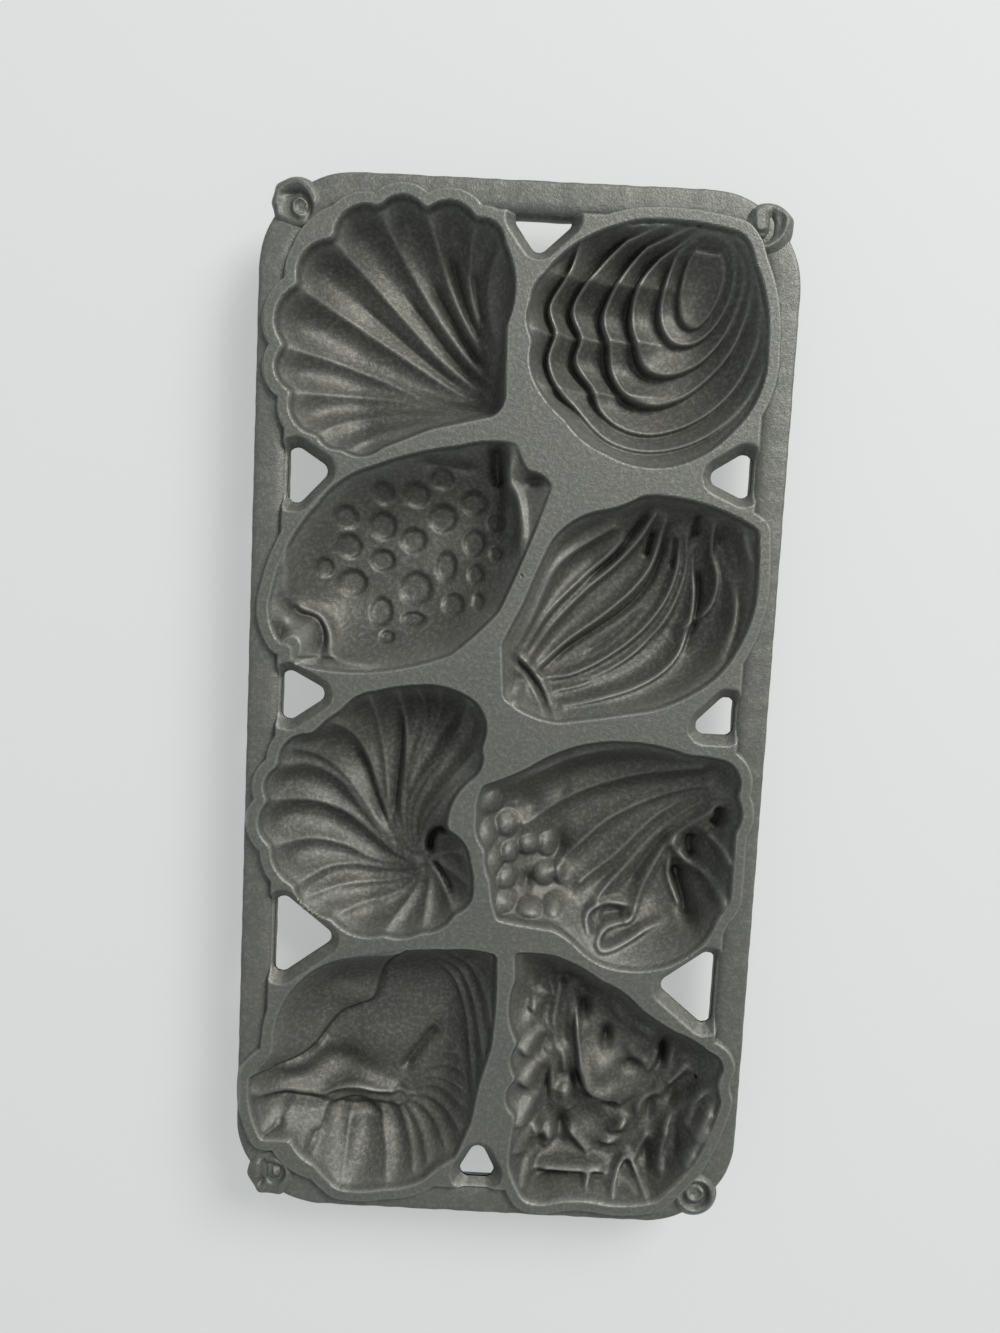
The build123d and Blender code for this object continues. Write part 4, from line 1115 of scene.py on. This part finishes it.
def bar_path():
    """The bar's outer edge: places and outward directions, all the way round."""
    places, outward = [], []
    straight = np.array([pan_width, pan_length]) / 2 - corner_radius
    for turn, sides in enumerate(((1, 1), (-1, 1), (-1, -1), (1, -1))):
        for k in range(bar_corner_cuts + 1):
            angle = turn * pi / 2 + k / bar_corner_cuts * pi / 2
            direction = np.array([cos(angle), sin(angle)])
            places.append(sides * straight + corner_radius * direction)
            outward.append(direction)
    rounds, round_out = [], []
    for i, (place, direction) in enumerate(zip(places, outward)):
        following, next_out = places[(i + 1) % len(places)], outward[(i + 1) % len(places)]
        cuts = max(1, int(np.hypot(*(following - place)) / bar_step))
        for k in range(cuts):
            rounds.append(place + (following - place) * k / cuts)
            aim = direction + (next_out - direction) * k / cuts
            round_out.append(aim / np.hypot(*aim))
    return np.array(rounds), np.array(round_out)


def cup_distance(x, y):
    """Distance from the nearest cup's edge, at any places."""
    nearest = np.full(x.shape, far)
    for name in cup_names:
        nearest = np.minimum(nearest, signed_distance(x, y, ring_of(outlines[name])))
    return nearest


def bar_piece():
    """The rounded bar, swept round the pan and pressed aside where a cup reaches over it."""
    places, outward = bar_path()
    count = len(places)
    angles = 2 * pi * np.arange(bar_sides) / bar_sides
    power = np.where(np.cos(angles) > 0, bar_square, bar_round)
    across, rise = (np.sign(wave) * np.abs(wave) ** power for wave in (np.cos(angles), np.sin(angles)))
    at = np.arange(count)
    uneven = np.abs(sum(height * np.sin(at * pace + start) for height, pace, start in bar_waves))
    inset = (1 - across[None, :]) * bar_width / 2 + uneven[:, None]
    x = places[:, :1] - outward[:, :1] * inset
    y = places[:, 1:] - outward[:, 1:] * inset
    pressed = np.clip(bar_clear - cup_distance(x, y), 0, inset - bar_least)
    x, y = x + outward[:, :1] * pressed, y + outward[:, 1:] * pressed
    half = (bar_top + bar_proud - bar_bottom) / 2
    z = bar_bottom + half + rise[None, :] * (half - uneven[:, None])
    points = np.column_stack([x.ravel(), y.ravel(), z.ravel()])
    faces = []
    for i in range(count):
        faces += strip(i * bar_sides, (i + 1) % count * bar_sides, bar_sides)
    return simple_piece("rim_frame_casting", points, faces, iron)


def strip(first, second, count):
    """The faces between two rings of points, given by the numbers of their first points."""
    faces = []
    for k in range(count):
        following = (k + 1) % count
        faces.append((first + k, second + k, second + following, first + following))
    return faces


def simple_piece(name, points, faces, material):
    """A smooth mesh piece from points and faces."""
    mesh = bpy.data.meshes.new(name)
    mesh.from_pydata([tuple(c * mm for c in point) for point in points], [], faces)
    mesh.polygons.foreach_set("use_smooth", [True] * len(mesh.polygons))
    mesh.materials.append(material)
    return new_object(name, mesh)


# Scrolls: where the boss sits from its solid's middle, its radius, and its rolls, grooves and nubs.
# Rolls and grooves are a path, a height or depth, and a width; nubs are a direction and a size.
scrolls = {
    "scroll_top_left": (
        (0, 1.6), 8.2,
        [([(-6.4, -5.4), (-7, -0.5), (-4.6, 4.4), (-0.4, 6.2), (3.4, 4.2), (5.4, 0.4), (4.8, -4)],
           1.7, 1.8),
         ([(3.4, -3), (3.4, -0.4), (1.4, 1), (-0.8, -0.4), (-0.8, -3), (1, -4.4), (2.8, -4)], 1.1, 0.8)],
        [([(-5, 1.8), (-1, 2.8), (2.4, 1.6), (4.2, -1.4), (3.4, -5)], 1.5, 0.9)],
        [(2.5, 0.1), (3.2, 0.05), (3.8, 0.1)],
    ),
    "scroll_top_right": (
        (0, 0.6), 8.4,
        [([(-6.4, 1.5), (-5.8, -2.1), (-4.1, -4.9), (-1.5, -6.2), (1, -5.4), (3.6, -3.3), (5.3, 0.1),
           (5.4, 3.8), (3.4, 6.2)], 1.3, 1.3),
         ([(-3.4, 6.4), (-3.2, 2.7), (-2.6, -1.9)], 2.0, 2.4)],
        [([(0.6, 5.9), (1.1, 1.9), (0.8, -1.6), (-1, -3.7), (-3.5, -3.6), (-5.2, -0.6)], 1.7, 0.9)],
        [(0.4, 0.07)],
    ),
    "scroll_bottom_left": (
        (0.8, -0.9), 8.6,
        [([(1.2, 0.6), (1.9, 1)], 1.5, 1.8),
         ([(-1.2, 4.4), (2.2, 4.9), (5, 3), (5.6, -0.4), (4, -3.6), (0.6, -4.9)], 1.4, 1.4),
         ([(-5.4, 5), (-4.9, 1.5), (-5.4, -2)], 1.3, 1.5)],
        [([(-1.6, 3.2), (0.8, 3.6), (3.6, 2.6), (4.2, 0.2), (3, -2.2), (0.4, -3), (-1.6, -1.6)], 1.4, 0.9),
         ([(-2.9, 5), (-2.5, 1.5), (-3.1, -2.5), (-4.8, -5.2)], 1.5, 0.9)],
        [(3.3, 0.06), (4.2, 0.12), (5.1, 0.1), (5.9, 0.08)],
    ),
    "scroll_bottom_right": (
        (-1, -1), 8.4,
        [([(-6.4, 1.7), (-5.5, -1.5), (-3.5, -4.1), (-0.1, -5.4), (3.2, -4.5), (5.5, -1.9), (6, 1.6),
           (4.6, 4.9), (1.6, 6.3), (-1.6, 5.8), (-3.4, 3.8)], 1.4, 1.3),
         ([(1.5, 3.2), (2.9, 1.9), (2.3, 0), (0, -1.2), (-2.2, -0.2), (-2.2, 1.8)], 1.3, 1.0)],
        [([(-4, 1), (-2.6, -2.4), (0.6, -3.5), (3.8, -1.9), (4.2, 1.4), (2, 4.4), (-0.8, 4.2)], 1.3, 0.8)],
        [],
    ),
}
scroll_edge = 2.4         # radius of the boss's rounded shoulder
scroll_relief = 1.5       # depth of the boss's face below the land
scroll_turn = 0.97        # how far the shoulder turns down, where 1 is upright
scroll_nub = 0.22         # half of a nub's width, in radians
scroll_side = 0.2         # rings on a boss's side, as a share of those on its face
scroll_rings = 40
scroll_spokes = 120


def scroll_piece(node):
    """A round boss with raised rolls that curl into an eye."""
    low, high = (np.array(corner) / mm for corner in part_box(node))
    shift, radius, rolls, grooves, nubs = scrolls[node]
    middle = (low + high)[:2] / 2 + shift
    share = (1 + scroll_side) * np.arange(1, scroll_rings + 1) / scroll_rings
    share, turn = np.meshgrid(share, 2 * pi * np.arange(scroll_spokes) / scroll_spokes, indexing="ij")
    edge = np.full(turn.shape, radius)
    for direction, size in nubs:
        away = np.abs((turn - direction + pi) % (2 * pi) - pi)
        edge = edge + radius * size * np.exp(-(away / scroll_nub) ** 2)
    reach = edge * np.minimum(share, 1)
    x, y = reach * np.cos(turn), reach * np.sin(turn)
    relief = np.zeros(x.shape)
    for path, height, width in rolls:
        relief = np.maximum(relief, height * stroke(x, y, path, width))
    relief = relief - carved(x, y, grooves)
    shoulder = np.clip(reach - edge + scroll_edge, 0, scroll_edge) / scroll_edge
    fall = scroll_edge * (1 - np.sqrt(1 - scroll_turn * shoulder ** 2))
    drop = np.maximum(share - 1, 0) / scroll_side
    z = np.minimum((land_top - scroll_relief + relief - fall) * (1 - drop) + low[2] * drop, land_top)
    points = [(middle[0], middle[1], z[0].mean())]
    points += list(zip((x + middle[0]).ravel(), (y + middle[1]).ravel(), z.ravel()))
    faces = [(0, 1 + k, 1 + (k + 1) % scroll_spokes) for k in range(scroll_spokes)]
    for i in range(1, scroll_rings):
        faces += strip(1 + (i - 1) * scroll_spokes, 1 + i * scroll_spokes, scroll_spokes)
    last = 1 + (scroll_rings - 1) * scroll_spokes
    faces.append(tuple(last + k for k in range(scroll_spokes))[::-1])
    return simple_piece(f"{node}_casting", points, faces, iron)


casting_pieces()
own(bar_piece(), "rim_frame")
for node in scrolls:
    own(scroll_piece(node), node)


# The floor, the light and the camera

floor_reach = 3.0         # in metres
floor_roughness = 0.8
floor_glow = 0.55         # share of the floor's own light, where the camera sees it
sky_colour = (0.93, 0.96, 1.0)
sky_strength = 0.40
camera_place = (-2.305, 52.689, 334.928)    # from the middle of the land's upper face
camera_aim = (-0.00272, -0.09886, -0.99510)
camera_up = (-0.05107, 0.99382, -0.09859)
camera_sensor = 36.0      # its height
camera_lens = 27.0


def floor():
    """A wide pale sheet under the pan, partly lit by itself where the camera sees it."""
    mesh = bpy.data.meshes.new("floor")
    corners = [(x * floor_reach, y * floor_reach, 0) for x, y in ((-1, -1), (1, -1), (1, 1), (-1, 1))]
    mesh.from_pydata(corners, [], [(0, 1, 2, 3)])
    material = bpy.data.materials.new("pale_paper")
    material.use_nodes = True
    tree = material.node_tree
    shader = tree.nodes["Principled BSDF"]
    shader.inputs["Base Color"].default_value = (*paper, 1)
    shader.inputs["Roughness"].default_value = floor_roughness
    glow = tree.nodes.new("ShaderNodeEmission")
    glow.inputs["Color"].default_value = (*paper, 1)
    ray = tree.nodes.new("ShaderNodeLightPath")
    seen = node_math(tree, "MAXIMUM", ray.outputs["Is Camera Ray"], ray.outputs["Is Glossy Ray"])
    seen = node_math(tree, "MAXIMUM", seen, ray.outputs["Is Transmission Ray"])
    mix = tree.nodes.new("ShaderNodeMixShader")
    tree.links.new(scaled(tree, seen, floor_glow), mix.inputs["Fac"])
    tree.links.new(shader.outputs[0], mix.inputs[1])
    tree.links.new(glow.outputs[0], mix.inputs[2])
    tree.links.new(mix.outputs[0], tree.nodes["Material Output"].inputs["Surface"])
    mesh.materials.append(material)
    new_object("floor", mesh)


def lamp(name, place, aim, size, power, colour):
    """A square area lamp that faces a point."""
    data = bpy.data.lights.new(name, "AREA")
    data.size = size
    data.energy = power
    data.color = colour
    light = new_object(name, data)
    light.location = place
    light.rotation_euler = (Vector(aim) - Vector(place)).to_track_quat("-Z", "Y").to_euler()


def world_light():
    """Even pale light from all round."""
    world = bpy.data.worlds.new("studio")
    world.use_nodes = True
    background = world.node_tree.nodes["Background"]
    background.inputs["Color"].default_value = (*sky_colour, 1)
    background.inputs["Strength"].default_value = sky_strength
    bpy.context.scene.world = world


def photo_camera():
    """The camera where the photograph was taken from: nearly straight above the pan."""
    data = bpy.data.cameras.new("camera")
    data.sensor_fit = "VERTICAL"
    data.sensor_height = camera_sensor
    data.lens = camera_lens
    camera = new_object("camera", data)
    back = -Vector(camera_aim).normalized()
    right = Vector(camera_up).cross(back).normalized()
    up = back.cross(right)
    place = (Vector(camera_place) + Vector((0, 0, land_top))) * mm
    camera.matrix_world = Matrix.Translation(place) @ Matrix((right, up, back)).transposed().to_4x4()
    bpy.context.scene.camera = camera


floor()
world_light()
lamp("key", place=(1.22, 1.42, 1.43), aim=(0, 0, 0), size=1.0, power=55.0, colour=(1.0, 0.98, 0.95))
photo_camera()
bpy.context.scene.view_settings.view_transform = "Standard"
